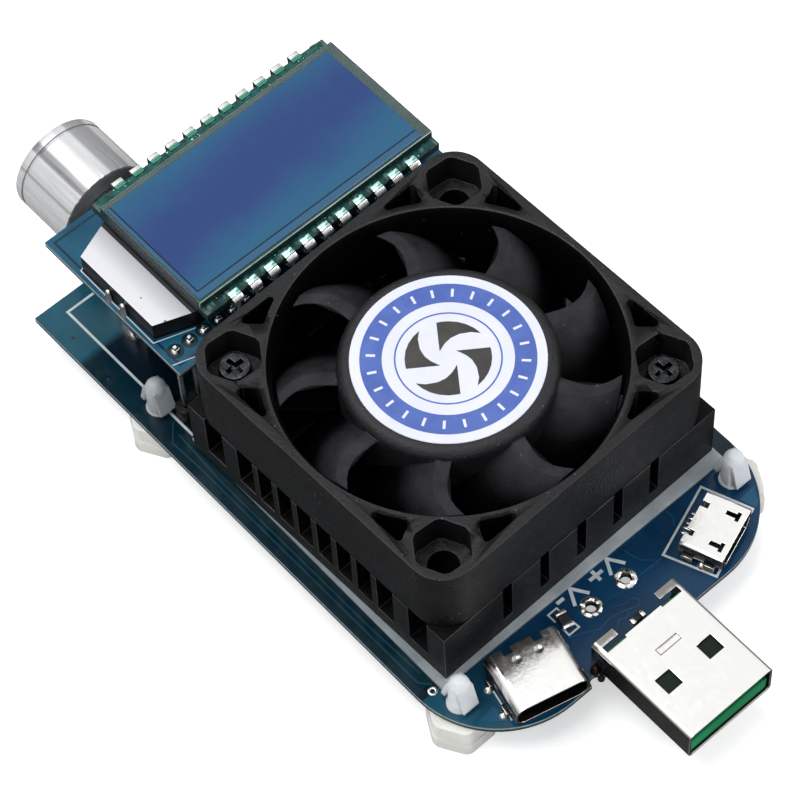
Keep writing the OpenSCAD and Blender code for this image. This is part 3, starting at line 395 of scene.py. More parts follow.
board_mask, tree, skin = paint("blue_mask")
axis = axes(tree)
cloud = cloudy(tree, 160)
hue = between(tree, cloud, "#04131f", "#071d2c")
front = spread(tree, axis[0], -20 * mm, -12 * mm)
front = mix(tree, front, tone("#0d4a60"), between(tree, cloud, "#04304f", "#083f66"))
hue = mix(tree, beyond(tree, axis[1], -20.6 + fan_y), front, hue)
aside = beyond(tree, calc(tree, "ABSOLUTE", axis[0]), 19.9)
strip = calc(tree, "MULTIPLY", aside, beyond(tree, axis[1], -19.6 + fan_y))
hue = mix(tree, strip, hue, between(tree, cloud, "#041d28", "#072b38"))
# Painted reflection: behind this line the mask is lighter, where it mirrors the display board above it.
rear = spread(tree, axis[1], (36.3 + fan_y) * mm, (37.3 + fan_y) * mm)
hue = mix(tree, rear, hue, between(tree, cloud, "#134a5b", "#1c5f74"))
dress(tree, skin, hue, cloudy(tree, 900, 0.11, 0.24))
lift(tree, skin, 2600, 0.06, 0.1)
skin.inputs["Specular IOR Level"].default_value = 0.3
piece("board_laminate", board_form("main_board"), [board_mask, cut_edge("routed_edge", 4.85)], "board_blue",
      "main_board", smooth=30)

track = lacquer("mask_over_tracks", "#0e3f66", "#15567f", 400)
patches = lacquer("mask_over_pads", "#154a68", "#1f5d7c", 400)
side_track = lacquer("mask_over_side_tracks", "#153c46", "#1f4c56", 400)
form = bmesh.new()
patch(form, [(20.96, -25.73), (18.6, -25.87), (19.25, -27.84), (20, -27.4)], board_top, foil, 1)
patch(form, [(-20.19, -26.31), (-17.9, -26.13), (-17.7, -28.54), (-19.2, -27.4)], board_top, foil, 1)
for line in (((-20.23, 23.78), (-22.05, 21.7), (-21.87, 16.8), (-21.85, -18.73), (-20.9, -19.84)),
             ((-20.85, 22), (-21.3, 14.3), (-21.2, -10.2), (-20.95, -18.1)),
             ((-0.35, -25.14), (1.41, -25.45), (4.25, -25.27), (7.3, -25.35)),
             ((-0.86, -25.99), (0.33, -26.59), (1.77, -26.78), (2.12, -27.34), (1.66, -27.82), (0.94, -27.65),
              (-0.26, -27.2), (-1.69, -26.86), (-3.38, -27.1), (-6.5, -25.6)),
             ((-2.05, -28.32), (-1.15, -27.68), (-0.44, -28.02), (0.37, -27.78)),
             ((11.78, -21.4), (11.81, -22.69), (11.06, -23.4)),
             ((5.0, -21.8), (5.5, -23.9), (6.6, -25.0))):
    ribbon(form, line, 0.17, board_top, foil, index=2 if line[0][0] < -20 else 0)
piece("board_tracks", form, [track, patches, side_track], "board_blue")

silk = moulded("white_print", "#bcc7cb", "#e3e8e9", 0.55)
print_rise = foil * 1.6
form = bmesh.new()
socket_box = [(16.65, -21.9), (18.85, -27.71), (10.12, -31.0), (7.76, -25.18)]
ribbon(form, socket_box, 0.26, board_top, print_rise, closed=True)
print_lines = [([(-19.76, 20.9), (-19.76, 43.1), (-14, 43.1)], 0.3), ([(-16.3, -23.2), (-17.55, -28.7)], 0.18),
               ([(4.1, -23.15), (2.94, -21.35), (1.97, -23.2)], 0.4),
               ([(-1.23, -23.2), (-2.42, -21.35), (-3.43, -23.3)], 0.4),
               ([(-0.2, -22.11), (1.68, -22.11)], 0.42), ([(-4.7, -21.78), (-3.7, -21.78)], 0.42)]
for sign in (-1, 1):
    print_lines.append(([(-5.65 + 0.66 * sign, -23.3), (-5.7 + 0.62 * sign, -22.15), (-5.7, -22.15)], 0.2))
    print_lines.append(([(-5.6 + 0.68 * sign, -24.4), (-5.56 + 0.72 * sign, -25.42), (-5.56, -25.42)], 0.2))
for points, width in print_lines:
    ribbon(form, points, width, board_top, print_rise)
ribbon(form, [(0.74, -21.4), (0.74, -22.85)], 0.42, board_top, foil * 1.5)
piece("board_print", form, [silk], "board_blue")


def sprout(name, inputs):
    made = bpy.data.node_groups.new(name, "GeometryNodeTree")
    made.interface.new_socket("Geometry", in_out="OUTPUT", socket_type="NodeSocketGeometry")
    made.interface.new_socket("Shape", in_out="INPUT", socket_type="NodeSocketGeometry")
    for label, kind in inputs:
        made.interface.new_socket(label, in_out="INPUT", socket_type="NodeSocket" + kind)
    return made, made.nodes.new("NodeGroupInput").outputs, made.nodes.new("NodeGroupOutput").inputs


def grow(made, tree, **values):
    stage = made.modifiers.new(tree.name, "NODES")
    stage.node_group = tree
    for item in tree.interface.items_tree:
        if item.in_out == "INPUT" and item.name in values:
            stage[item.identifier] = values[item.name]
    plain(made)


def coat_copies(tree, given, result, copies):
    whole = put(tree, "GeometryNodeRealizeInstances", {"Geometry": copies.outputs[0]})
    coated = put(tree, "GeometryNodeSetMaterial", {"Geometry": whole.outputs[0], "Material": given["Finish"]})
    tree.links.new(coated.outputs[0], result[0])


on_spots, given, result = sprout("on_spots", [("Pattern", "Object"), ("Smallest", "Float"), ("Largest", "Float"),
                                              ("Seed", "Int"), ("Finish", "Material")])
pattern = put(on_spots, "GeometryNodeObjectInfo", {"Object": given["Pattern"]})
swing = put(on_spots, "FunctionNodeRandomValue", {2: 0.0, 3: math.tau, "Seed": given["Seed"]}, data_type="FLOAT")
way = put(on_spots, "ShaderNodeCombineXYZ", {"Z": swing.outputs[1]})
sizes = {2: given["Smallest"], 3: given["Largest"], "Seed": given["Seed"]}
size = put(on_spots, "FunctionNodeRandomValue", sizes, data_type="FLOAT")
placed = {"Points": given["Shape"], "Instance": pattern.outputs["Geometry"], "Rotation": way.outputs[0],
          "Scale": size.outputs[1]}
copies = put(on_spots, "GeometryNodeInstanceOnPoints", placed)
coat_copies(on_spots, given, result, copies)


def scatter(name, spots, profile, steps, finish, slot, seed=1):
    form = bmesh.new()
    lathe(form, profile, steps)
    bmesh.ops.translate(form, vec=(0, -fan_y, 0), verts=form.verts)
    pattern = shape(name + "_pattern", form, [finish], 50, False)
    form = bmesh.new()
    for spot in spots:
        form.verts.new(spot)
    made = shape(name, form, [finish], even=False)
    grow(made, on_spots, Pattern=pattern, Smallest=0.9, Largest=1.1, Seed=seed, Finish=finish)
    bpy.data.objects.remove(pattern)
    fit(made, slot)


via_spots = [(9.55, -21.6), (9.55, -23.31), (8.58, -22.24), (8.54, -23.28), (8.53, -21.6), (5.33, -21.75),
             (5.56, -22.56), (5.53, -23.78), (6.01, -21.87), (4.87, -21.86), (-21.5, 40), (-22.1, 33), (-15.2, 41.5),
             (20.9, -22.6)]
via_profile = [(0.2, 0), (0.19, 0.03), (0.12, 0.035), (0.08, 0.02), (0, 0.015)]
via_skin = lacquer("filled_hole", "#05203a", "#0a2f4e", 900)
scatter("filled_holes", [(x, y, board_top) for x, y in via_spots], via_profile, 20, via_skin, "board_blue")


# Wire terminals
# Two plated through holes with a tinned ring on each face, left open for a soldered wire, and one small bare hole.
# The tin stands a little proud of the mask and is rounded and pitted by the melt.
def verts_of(faces):
    return {v for f in faces for v in f.verts}


tin = plated("bright_tin", "#bdbbb4", "#f0eee9", 0.16, 1400, 0.35)
terminal_spots = [(2.85, -24.5), (-2.25, -24.5)]
terminal_profile = [(0.62, -0.86), (0.62, 0.02), (0.7, 0.12), (0.92, 0.16), (1.16, 0.12), (1.29, 0), (0.85, 0),
                    (0.85, -0.8), (1.29, -0.8), (1.16, -0.9), (0.92, -0.9)]
bare_spot = (-21.34, -20.47)
bare_profile = [(0.25, -0.5), (0.25, 0.03), (0.35, 0.07), (0.5, 0.05), (0.55, 0), (0.4, -0.5)]
form = bmesh.new()
for spot in terminal_spots:
    for vert in verts_of(lathe(form, terminal_profile, 48, spot, closed=True)):
        vert.co.z += board_top + (0.09 * noise.noise(vert.co * 2.1) if vert.co.z > 0.05 else 0)
for vert in verts_of(lathe(form, bare_profile, 24, bare_spot, closed=True)):
    vert.co.z += board_top
piece("terminal_rings", form, [tin], "tin", "terminal_eyelets")


# Snap-in feet
# Four moulded nylon feet: a two-tier hexagon below the board and a winged nub pushed through its hole.
# Milky, slightly see-through, with the soft corners of a small moulding; the front nubs are painted lighter as light
# and the rear ones darker as shade.
nylon, tree, skin = paint("milky_nylon")
cloud = cloudy(tree, 350)
axis = axes(tree)
# Painted light and shade: nubs in front of the middle are lighter, those behind it darker.
lit_front_nub, shaded_rear_nub = between(tree, cloud, "#dfe4ea", "#f4f6fa"), between(tree, cloud, "#a9aeb3", "#c8cdd2")
nub = mix(tree, beyond(tree, axis[1], 0.0), lit_front_nub, shaded_rear_nub)
hue = mix(tree, beyond(tree, axis[2], 5.0), between(tree, cloud, "#e8e6de", "#f5f4f0"), nub)
dress(tree, skin, hue, cloudy(tree, 900, 0.32, 0.5))
skin.inputs["Subsurface Weight"].default_value = 0.35
skin.inputs["Subsurface Radius"].default_value = (0.002, 0.002, 0.0018)
skin.inputs["Subsurface Scale"].default_value = 0.5
lift(tree, skin, 1200, 0.1, 0.08)
tier_top = 4.5
form = solid("snap_feet")
round_edges(form, 0.15, 3, keep=lambda e: all(v.co.z < tier_top for v in e.verts))
piece("nylon_feet", form, [nylon], "nylon", "snap_feet", smooth=50)


# Thermal pad
# A soft grey-white silicone sheet between board and heatsink, squeezed out a little round the foot of the heatsink.
# Cut by hand, so its rim is rounded and runs narrower along the left side, which lies in the heatsink's shade and is
# painted darker as shade.
pad_half, left_line = 20.9, -19.6
pad_skin = moulded("silicone_pad", "#9aa4a9", "#c4cbcf", 0.6, 900, 0.4)
# Painted shade: a darker copy of the silicone for the strip left of the line.
pad_left_painted_shade = moulded("silicone_pad_left_shade", "#7b8489", "#a0a8ac", 0.6, 900, 0.4)
form = solid("thermal_pad")
for vert in form.verts:
    if vert.co.x < -20:
        vert.co.x += 0.3 + 0.35 * (vert.co.y + pad_half) / (2 * pad_half)
round_edges(form, 0.12, 2)
whole = form.verts[:] + form.edges[:] + form.faces[:]
bmesh.ops.bisect_plane(form, geom=whole, plane_co=(left_line, 0, 0), plane_no=(1, 0, 0))
for face in form.faces:
    face.material_index = int(face.calc_center_median().x < left_line)
piece("silicone_sheet", form, [pad_skin, pad_left_painted_shade], "pad_grey", "thermal_pad")


# Heatsink
# An extruded aluminium comb, cut across in five places and black anodised.
# The saw leaves sharp edges where the black wears grey, their lighter grey partly a painted highlight; the slots
# between the fins are painted darkest as shade.
slot_reach = 19.5
anodised = moulded("black_anodised", "#0b0b0c", "#141416", 0.42, 1000, 0.7, 0.05, 0.22)
anodised_wear_and_highlight = moulded("black_anodised_edge", "#252628", "#4a4b4f", 0.35, 1000, 0.5, 0, 0.45)
anodised_painted_shade = moulded("black_anodised_slot_shade", "#040405", "#0a0a0b", 0.5, 1000, 0.5, 0.03, 0.1)
form = solid("heatsink")
round_edges(form, 0.07, 1, 25, 1)
for face in form.faces:
    middle = face.calc_center_median()
    # Painted shade: faces inside the comb get the darkest copy of the black.
    if face.material_index == 0 and max(abs(middle.x), abs(middle.y)) < slot_reach:
        face.material_index = 2
piece("heatsink_comb", form, [anodised, anodised_wear_and_highlight, anodised_painted_shade], "anodised_black", "heatsink")


# Fan frame
# A square moulded housing with a flared duct, four corner eyes and three struts that carry the motor.
# Satin black glass-filled plastic with softly rounded, slightly rubbed edges, their lighter grey partly a painted
# highlight; the walls of its hollows and duct are painted darker as shade.
fan_skin = moulded("black_fan_plastic", "#0f0f10", "#1b1b1d", 0.45, 900, 0.9, 0.08, 0.25)
fan_wear_and_highlight = moulded("black_fan_edge", "#18191b", "#343539", 0.4, 900, 0.8, 0.05, 0.3)
fan_painted_shade = moulded("black_fan_depth_shade", "#030304", "#070708", 0.5, 900, 0.6, 0.01, 0.08)
form = solid("fan_frame", False)
duct_r, wall_in, web_r, corner_line = 19.4, 19.4, 19.55, 33
eye_at, eye_r = 16, 3.65


def in_web(vert):
    x, y = abs(vert.co.x), abs(vert.co.y)
    off_eye = math.hypot(x - eye_at, y - eye_at) > eye_r
    return math.hypot(x, y) > web_r and max(x, y) < wall_in and x + y < corner_line and off_eye


round_edges(form, 0.1, 2, 28, 1, lambda e: not (in_web(e.verts[0]) and in_web(e.verts[1])))
rim_z = max(v.co.z for v in form.verts)
# Painted shade: walls below the rim inside the duct and hollows get a darker copy of the black.
for face in form.faces:
    middle = face.calc_center_median()
    inner = middle.xy.length < duct_r or all(in_web(v) for v in face.verts)
    if inner and face.material_index == 0 and middle.z < rim_z - 0.12 and face.normal.z < 0.6:
        face.material_index = 2
piece("fan_housing", form, [fan_skin, fan_wear_and_highlight, fan_painted_shade], "fan_black", "fan_frame", smooth=35)


# Fan screws
# Two black cross-recess screws in opposite corner eyes that bite into the heatsink's grooves.
# Rolled and blackened steel with a domed head.
def eased(name, node, finish, width, steps, slot, body="base"):
    form = solid(node)
    round_edges(form, width, steps)
    piece(name, form, [finish], slot, node, body=body)


screw_black = plated("black_oxide_steel", "#1f2022", "#424448", 0.22, 900, 0.5)
eased("corner_screws", "fan_screws", screw_black, 0.1, 2, "screw_black")


# Fan motor
# A small green board, a laminated four-pole core with its windings, and a sintered sleeve bearing under the hub.
# They are pressed on the frame's tube and hidden by the rotor.
def coat_node(node, finish):
    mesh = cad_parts[node].data
    mesh.materials.clear()
    mesh.materials.append(finish)


coat_node("fan_motor_board", lacquer("green_mask", "#0f4527", "#1b6a3e", 300))
coat_node("fan_stator_core", plated("core_sheet", "#5a5d62", "#7d8187", 0.4, 1500, 0.3))
coat_node("fan_windings", plated("enamelled_wire", "#8a4a1c", "#c27a3a", 0.3, 2500, 0.5))
coat_node("fan_bearing", plated("sintered_bronze", "#7d5f33", "#a98850", 0.5, 3000, 0.4))


# Rotor
# One black moulding: a hub cup with a rounded rim and nine swept blades that clear the duct by 0.4 mm.
# A ring magnet and a steel shaft are pressed into the cup; the blades are painted darker towards their lower edges, as
# shade deep in the duct.
hub_skin = moulded("black_hub_plastic", "#161618", "#252528", 0.45, 900, 0.9, 0.08, 0.3)
blade_skin = moulded("black_blade_plastic", "#232326", "#38383d", 0.42, 1400, 0.5, 0.06, 0.08)
tree = blade_skin.node_tree
skin = tree.nodes["Principled BSDF"]
blade_low, blade_high = 19.6 * mm, 23 * mm
# Painted shade: the blades darken downwards into the duct.
painted_depth_shade = spread(tree, axes(tree)[2], blade_low, blade_high, curve="SMOOTHSTEP")
hue = mix(tree, painted_depth_shade, tone("#020203"), skin.inputs["Base Color"].links[0].from_socket)
tree.links.new(hue, skin.inputs["Base Color"])
cap_r, hub_r, tip_r, blade_bow = 11.95, 12.2, 18.3, math.radians(4.2)
form = solid("fan_rotor", False)
for face in form.faces:
    if all(v.co.xy.length < cap_r for v in face.verts):
        face.material_index = 1
round_edges(form, 0.1, 2, 30)
long_edges = [e for e in form.edges if abs(e.verts[0].co.xy.length - e.verts[1].co.xy.length) > 1.5]
bmesh.ops.subdivide_edges(form, edges=long_edges, cuts=6, use_grid_fill=True)
for vert in form.verts:
    part = min(1.0, max(0.0, (vert.co.xy.length - hub_r) / (tip_r - hub_r)))
    vert.co = Matrix.Rotation(-blade_bow * 4 * part * (1 - part), 3, "Z") @ vert.co
piece("fan_blades", form, [blade_skin, hub_skin], "fan_black", "fan_rotor", body="rotor", smooth=35)
coat_node("rotor_magnet", moulded("bonded_ferrite", "#2a2724", "#403c38", 0.7, 2500, 0.4))
steel = plated("plated_steel", "#b4b7b9", "#ced1d3", 0.3, 900, 0.03, 0.85)
coat_node("rotor_shaft", steel)


# Hub label
# A round printed vinyl label stuck on the hub, lavender white with a blue ring.
# Its print is plain: ticks in the ring, a thin circle and a dark blade mark in the middle.
label_top = 24.05
label_rings = ((7.0, 9.35), (5.55, 5.72))
paper = moulded("vinyl_paper", "#e2e5f7", "#eef0fd", 0.38, 700, 0.05, 0, 0.3)
ink_blue = moulded("blue_print", "#4a63b0", "#5b74bf", 0.4, 1600, 0.1, 0, 0.3)
ink_dark = moulded("dark_print", "#33322f", "#454441", 0.45, 1600, 0.1, 0, 0.3)
eased("vinyl_label", "hub_label", paper, 0.05, 1, "label", body="rotor")
form = bmesh.new()
for near, far in label_rings:
    low, high = label_top - 0.01, label_top + 0.02
    lathe(form, [(near, low), (near, high), (far, high), (far, low)], 128, closed=True)
piece("label_ring", form, [ink_blue], "label", body="rotor")

around, given, result = sprout("around_hub", [("Count", "Int"), ("Centre", "Vector"), ("Finish", "Material")])
back = put(around, "ShaderNodeVectorMath", {0: given["Centre"], "Scale": -1.0}, operation="SCALE")
centred = put(around, "GeometryNodeTransform", {"Geometry": given["Shape"], "Translation": back.outputs[0]})
stack = put(around, "GeometryNodeMeshLine", {"Count": given["Count"], "Start Location": given["Centre"],
                                             "Offset": (0, 0, 0)}, mode="OFFSET")
step = calc(around, "DIVIDE", math.tau, given["Count"])
angle = calc(around, "MULTIPLY", put(around, "GeometryNodeInputIndex").outputs[0], step)
way = put(around, "ShaderNodeCombineXYZ", {"Z": angle})
placed = {"Points": stack.outputs[0], "Instance": centred.outputs[0], "Rotation": way.outputs[0]}
copies = put(around, "GeometryNodeInstanceOnPoints", placed)
coat_copies(around, given, result, copies)
hub_axis = (0, fan_y * mm, 0)
tick = bmesh.new()
ribbon(tick, [(7.7, 0), (8.7, 0)], 0.3, label_top, 0.035)
made = shape("label_ticks", tick, [paper], even=False)
grow(made, around, Count=24, Centre=hub_axis, Finish=paper)
fit(made, "label", body="rotor")
blade = bmesh.new()
sweep = [math.radians(a) for a in (0, 12, 24, 36, 48, 58, 64)]
outer = [(4.6 * math.cos(a), 4.6 * math.sin(a)) for a in sweep]
leading = zip((4.0, 3.2, 2.5, 1.9, 1.5, 1.3, 1.25), [a * 1.3 + 0.2 for a in sweep])
inner = [(r * math.cos(a), r * math.sin(a)) for r, a in leading]
patch(blade, outer + inner[::-1], label_top, 0.02)
made = shape("label_blades", blade, [ink_dark], even=False)
grow(made, around, Count=4, Centre=hub_axis, Finish=ink_dark)
fit(made, "label", body="rotor")


# Fan leads
# A red and a black insulated lead from the motor to a small cream socket on the board.
# They are held by the frame's notch and the socket.
coat_node("fan_lead_red", moulded("red_insulation", "#7e0d0b", "#a51511", 0.4, 900, 0.1))
coat_node("fan_lead_black", moulded("black_insulation", "#0c0c0c", "#181818", 0.4, 900, 0.1))
cream = moulded("cream_socket", "#c9bfa6", "#dcd4bf", 0.5, 900, 0.1)
eased("lead_socket", "fan_lead_socket", cream, 0.2, 2, "white_plastic")


# Display board
# A second blue board, carried above the first on a pin header, with a printed line round the display's outline.
# Same laminate as the main board, with a lighter copper plane under its mask.
display_top = 18.2
display_mask = lacquer("display_mask", "#164c68", "#21627f", 240, 0.16, 0.25)
display_edge = cut_edge("display_edge", 17.75)
piece("display_laminate", board_form("display_board"), [display_mask, display_edge], "board_blue",
      "display_board", smooth=30)
form = bmesh.new()
ribbon(form, [(-18.97, 38.72), (-19.44, 38.57), (-19.6, 25.89), (-13.62, 23.81)], 0.13, display_top, foil)
ribbon(form, [(-19.9, 22.3), (-17.4, 21.5)], 0.12, display_top, foil)
ribbon(form, [(-12, 21.75), (-19.25, 21.75), (-19.25, 43.4), (-12, 43.4)], 0.28, display_top, foil / 2, index=1)
piece("display_print", form, [silk, lacquer("bare_gap", "#0b2a3a", "#12384a", 400)], "board_blue")


# Pin header
# A black moulded strip with eight square tinned pins that join the two boards.
# The pins end in solder cones above the display board.
black_moulding = moulded("black_moulding", "#0d0d0e", "#17171a", 0.45, 1500, 0.15, 0, 0.3)
eased("header_bar", "header_strip", black_moulding, 0.12, 2, "black_plastic")
eased("header_posts", "header_pins", tin, 0.08, 1, "tin")
header_spots = [(-18.5 + 2 * i, 23.5, display_top) for i in range(8)]
pad_ring = [(0.9, 0), (0.88, 0.03), (0.5, 0.045), (0, 0.05)]
resist = lacquer("resist_ring", "#0a1a20", "#16303a", 900)
scatter("header_pads", header_spots, pad_ring, 24, resist, "board_blue", 3)
header_joint = [(0.6, 0), (0.57, 0.1), (0.5, 0.22), (0.4, 0.34), (0.3, 0.42), (0.16, 0.46), (0, 0.47)]
scatter("header_joints", header_spots, header_joint, 24, tin, "tin", 4)


# Backlight
# A white light plate with a tapered end that holds the lamp, black tape on its slanted near side, and two leads.
# It lies on a black film on the board, and its leads are soldered beside it.
tape = moulded("black_tape", "#070708", "#101012", 0.35, 1500, 0.15, 0, 0.2)
diffuser, tree, skin = paint("white_diffuser")
along = axes(tree)[0]
# Painted shade: the plate's top greys towards the glass and goes dark where it runs under it.
painted_shade_fade = between(tree, spread(tree, along, -17.6 * mm, -14.4 * mm), "#e6e6ea", "#b9bac1")
hue = mix(tree, use(tree, dust_and_glint_specks, Scale=900, Share=0.04), painted_shade_fade, tone("#77777a"))
hue = mix(tree, beyond(tree, along, -15.0), hue, tone("#0b0c0e"))
dress(tree, skin, hue, cloudy(tree, 600, 0.3, 0.45))
lift(tree, skin, 900, 0.05, 0.05)
form = solid("backlight_plate")
for face in form.faces:
    if face.normal.y < -0.3 or face.normal.x < -0.3:
        face.material_index = 1
round_edges(form, 0.1, 2)
piece("light_plate", form, [diffuser, tape], "white_plastic", "backlight_plate")
piece("light_film", solid("backlight_film"), [tape], "black_film", "backlight_film")
eased("light_leads", "backlight_leads", tin, 0.05, 1, "tin")
lead_joint = [(0.6, 0), (0.56, 0.12), (0.46, 0.3), (0.4, 0.8), (0.42, 1.2), (0.34, 1.5), (0.18, 1.64), (0, 1.66)]
scatter("light_joints", [(-19.4, y, display_top) for y in (31.1, 33.6)], lead_joint, 20, tin, "tin", 6)


# Display glass
# Two panes with the liquid crystal between them, a reflecting film below and a polarising film on top.
# The film shows a cloudy indigo field in a teal one and stops just short of the pane's ground edge.
glass, tree, skin = paint("pane_glass")
hue = mix(tree, cloudy(tree, 300), (0.32, 0.55, 0.52, 1), (0.5, 0.74, 0.7, 1))
dress(tree, skin, hue, cloudy(tree, 600, 0.03, 0.08))
skin.inputs["Transmission Weight"].default_value = 0.85
skin.inputs["IOR"].default_value = 1.5
# Painted shade and highlight: the panes' cut sides are dark and the front pane's long arrises are bright.
glass_side_painted_shade = moulded("glass_side_painted_shade", "#0f1b1e", "#26383b", 0.25, 2500, 0.5, 0, 0.4)
lit_edge = moulded("painted_highlight_arris", "#7fa9a3", "#b9d8d2", 0.3, 2500, 0.3, 0, 0.5)
for node, name in (("lcd_rear_glass", "rear_pane"), ("lcd_front_glass", "front_pane")):
    form = solid(node)
    for face in form.faces:
        if abs(face.normal.z) < 0.5:
            face.material_index = 1
    round_edges(form, 0.07, 1, wear_and_highlight_index=2)
    for face in form.faces:
        if face.material_index == 2 and (abs(face.normal.y) < 0.3 or name == "rear_pane"):
            face.material_index = 1
    piece(name, form, [glass, glass_side_painted_shade, lit_edge], "glass", node)
film_right, film_far, rear_right = 17.5, 39.7, 17.3
film_half = Vector((16.35, 8.2)) * mm
film_middle = Vector((2.15, 32.05 + fan_y, 0)) * mm
polariser, tree, skin = paint("polarising_film")
from_middle = vec(tree, "SUBTRACT", coords(tree), film_middle)[0]
leaning = put(tree, "ShaderNodeVectorRotate", {"Vector": from_middle, "Angle": -0.08}, rotation_type="Z_AXIS")
across = calc(tree, "ADD", axes(tree, leaning.outputs[0])[1], cloudy(tree, 90, -1.5 * mm, 1.5 * mm))
across = calc(tree, "ABSOLUTE", calc(tree, "SUBTRACT", across, 1.0 * mm))
hue = between(tree, spread(tree, across, 1.0 * mm, 8.5 * mm, curve="SMOOTHSTEP"), "#22407b", "#225e82")
offset = axes(tree, from_middle)
below = calc(tree, "ADD", film_half.y - 0.95 * mm, offset[1])
beside = calc(tree, "ADD", film_half.x - 0.5 * mm, offset[0])
inward = calc(tree, "MINIMUM", below, beside)
hue = mix(tree, calc(tree, "LESS_THAN", inward, -0.09 * mm), hue, tone("#305f80"))
hue = mix(tree, calc(tree, "COMPARE", inward, 0.0, 0.09 * mm), hue, tone("#06182f"))
dress(tree, skin, hue, cloudy(tree, 500, 0.06, 0.12))
skin.inputs["Specular IOR Level"].default_value = 0.35
form = solid("lcd_front_film")
for vert in form.verts:
    vert.co.x = min(vert.co.x, film_right)
    vert.co.y = min(vert.co.y, film_far)
round_edges(form, 0.05, 1)
piece("front_film", form, [polariser], "display_blue", "lcd_front_film")
form = solid("lcd_rear_film")
for vert in form.verts:
    vert.co.x = min(vert.co.x, rear_right)
rear_film = moulded("reflecting_film", "#1d3a3c", "#2f5254", 0.3)
piece("rear_film_sheet", form, [rear_film], "rear_film", "lcd_rear_film")


# Display clips
# Eleven tinned clips along each long side grip the rear pane, bend round its edge and stand in the display board.
# Hard green resin runs over their tips and locks them to the glass.
clip_count, clip_pitch, clip_middle = 11, 2.54, 2.15
clip_half, leg_half, clip_sheet = 0.68, 0.25, 0.1
rear_near, rear_far = 22.4, 42.2
front_near, front_far = 23.55, 40.55
ledge = 22.1


def bent_strip(form, points, half, sheet):
    points = [Vector(p) for p in points]
    rings = []
    for i, here in enumerate(points):
        before, after = points[max(i - 1, 0)], points[min(i + 1, len(points) - 1)]
        along = (after - before).normalized()
        side = Vector((-along.y, along.x)) * sheet
        a, b = here + side, here - side
        corners = ((-half, a.x, a.y), (half, a.x, a.y), (half, b.x, b.y), (-half, b.x, b.y))
        rings.append([form.verts.new(corner) for corner in corners])
    for a, b in zip(rings, rings[1:]):
        for k in range(4):
            form.faces.new((a[k], a[(k + 1) % 4], b[(k + 1) % 4], b[k]))
    form.faces.new(rings[0][::-1])
    form.faces.new(rings[-1])
    bmesh.ops.recalc_face_normals(form, faces=form.faces)


in_row, given, result = sprout("clip_row", [("Count", "Int"), ("Pitch", "Float"), ("Finish", "Material")])
step = put(in_row, "ShaderNodeCombineXYZ", {"X": given["Pitch"]})
line = put(in_row, "GeometryNodeMeshLine", {"Count": given["Count"], "Offset": step.outputs[0]}, mode="OFFSET")
copies = put(in_row, "GeometryNodeInstanceOnPoints", {"Points": line.outputs[0], "Instance": given["Shape"]})
coat_copies(in_row, given, result, copies)


def clip_finish(name, edge, sign, bands):
    made, tree, skin = paint(name)
    middle = edge + fan_y
    reach_in = spread(tree, axes(tree)[1], (middle - sign * 0.7) * mm, (middle + sign * 0.7) * mm)
    tints = put(tree, "ShaderNodeValToRGB", {"Fac": reach_in})
    stops = tints.color_ramp.elements
    tints.color_ramp.interpolation = "CONSTANT"
    for spot, code in bands:
        stop = stops[0] if spot < -0.69 else stops.new((spot + 0.7) / 1.4)
        stop.color = tone(code)
    stops[-1].color = tone(bands[-1][1])
    hue = mix(tree, cloudy(tree, 1500, 0, 0.25), tints.outputs[0], (0.25, 0.3, 0.3, 1))
    # Painted shade: faces turned sideways along the row are painted dark.
    side_face_shade = calc(tree, "ABSOLUTE", axes(tree, coords(tree, "Normal"))[0])
    hue = mix(tree, calc(tree, "GREATER_THAN", side_face_shade, 0.8), hue, tone("#1c211f"))
    dress(tree, skin, hue, cloudy(tree, 1500, 0.15, 0.3))
    skin.inputs["Metallic"].default_value = 0.75
    lift(tree, skin, 3000, 0.15, 0.04)
    return made


near_bands = ((-0.7, "#fbf9f4"), (-0.27, "#16211f"), (-0.17, "#bfe8df"), (0.08, "#5ba395"), (0.27, "#b0e0d6"))
far_bands = ((-0.7, "#fbf9f4"), (0.02, "#0d2622"), (0.1, "#56c4a8"), (0.24, "#0f4f43"), (0.36, "#3fae92"),
             (0.5, "#0a3a31"))
near_bend = [(0.65, 0.17), (-0.2, 0.17), (-0.27, 0.1), (-0.62, -0.12), (-0.66, -0.22), (-0.58, -0.55)]
far_bend = [(0.65, 0.17), (-0.46, 0.17), (-0.53, 0.12), (-0.55, 0.0), (-0.53, -0.2), (-0.5, -0.5)]
clip_foot = [(-0.46, -0.95), (-0.3, -1.2), (0.05, -1.25), (0.8, -1.25)]
clip_leg = [(-0.47, ledge - 0.85), (-0.38, ledge - 1.6), (-0.22, ledge - 2.4), (-0.12, 16.6)]
for name, node, edge, sign, bands, bend in (("near_clips", "lcd_clips_near", rear_near, 1, near_bands, near_bend),
                                            ("far_clips", "lcd_clips_far", rear_far, -1, far_bands, far_bend)):
    clip_tin = clip_finish(name + "_tin", edge, sign, bands)
    form = bmesh.new()
    bent_strip(form, [(y, ledge + z) for y, z in bend + clip_foot], clip_half, clip_sheet)
    bent_strip(form, clip_leg, leg_half, clip_sheet)
    round_edges(form, 0.04, 1)
    turned = Matrix.Rotation(math.pi, 4, "Z") if sign < 0 else Matrix.Identity(4)
    first = clip_middle - clip_pitch * (clip_count - 1) / 2
    bmesh.ops.transform(form, matrix=Matrix.Translation((first, edge, 0)) @ turned, verts=form.verts)
    made = shape(name, form, [clip_tin], even=False)
    grow(made, in_row, Count=clip_count, Pitch=clip_pitch * mm, Finish=clip_tin)
    fit(made, "tin", node)

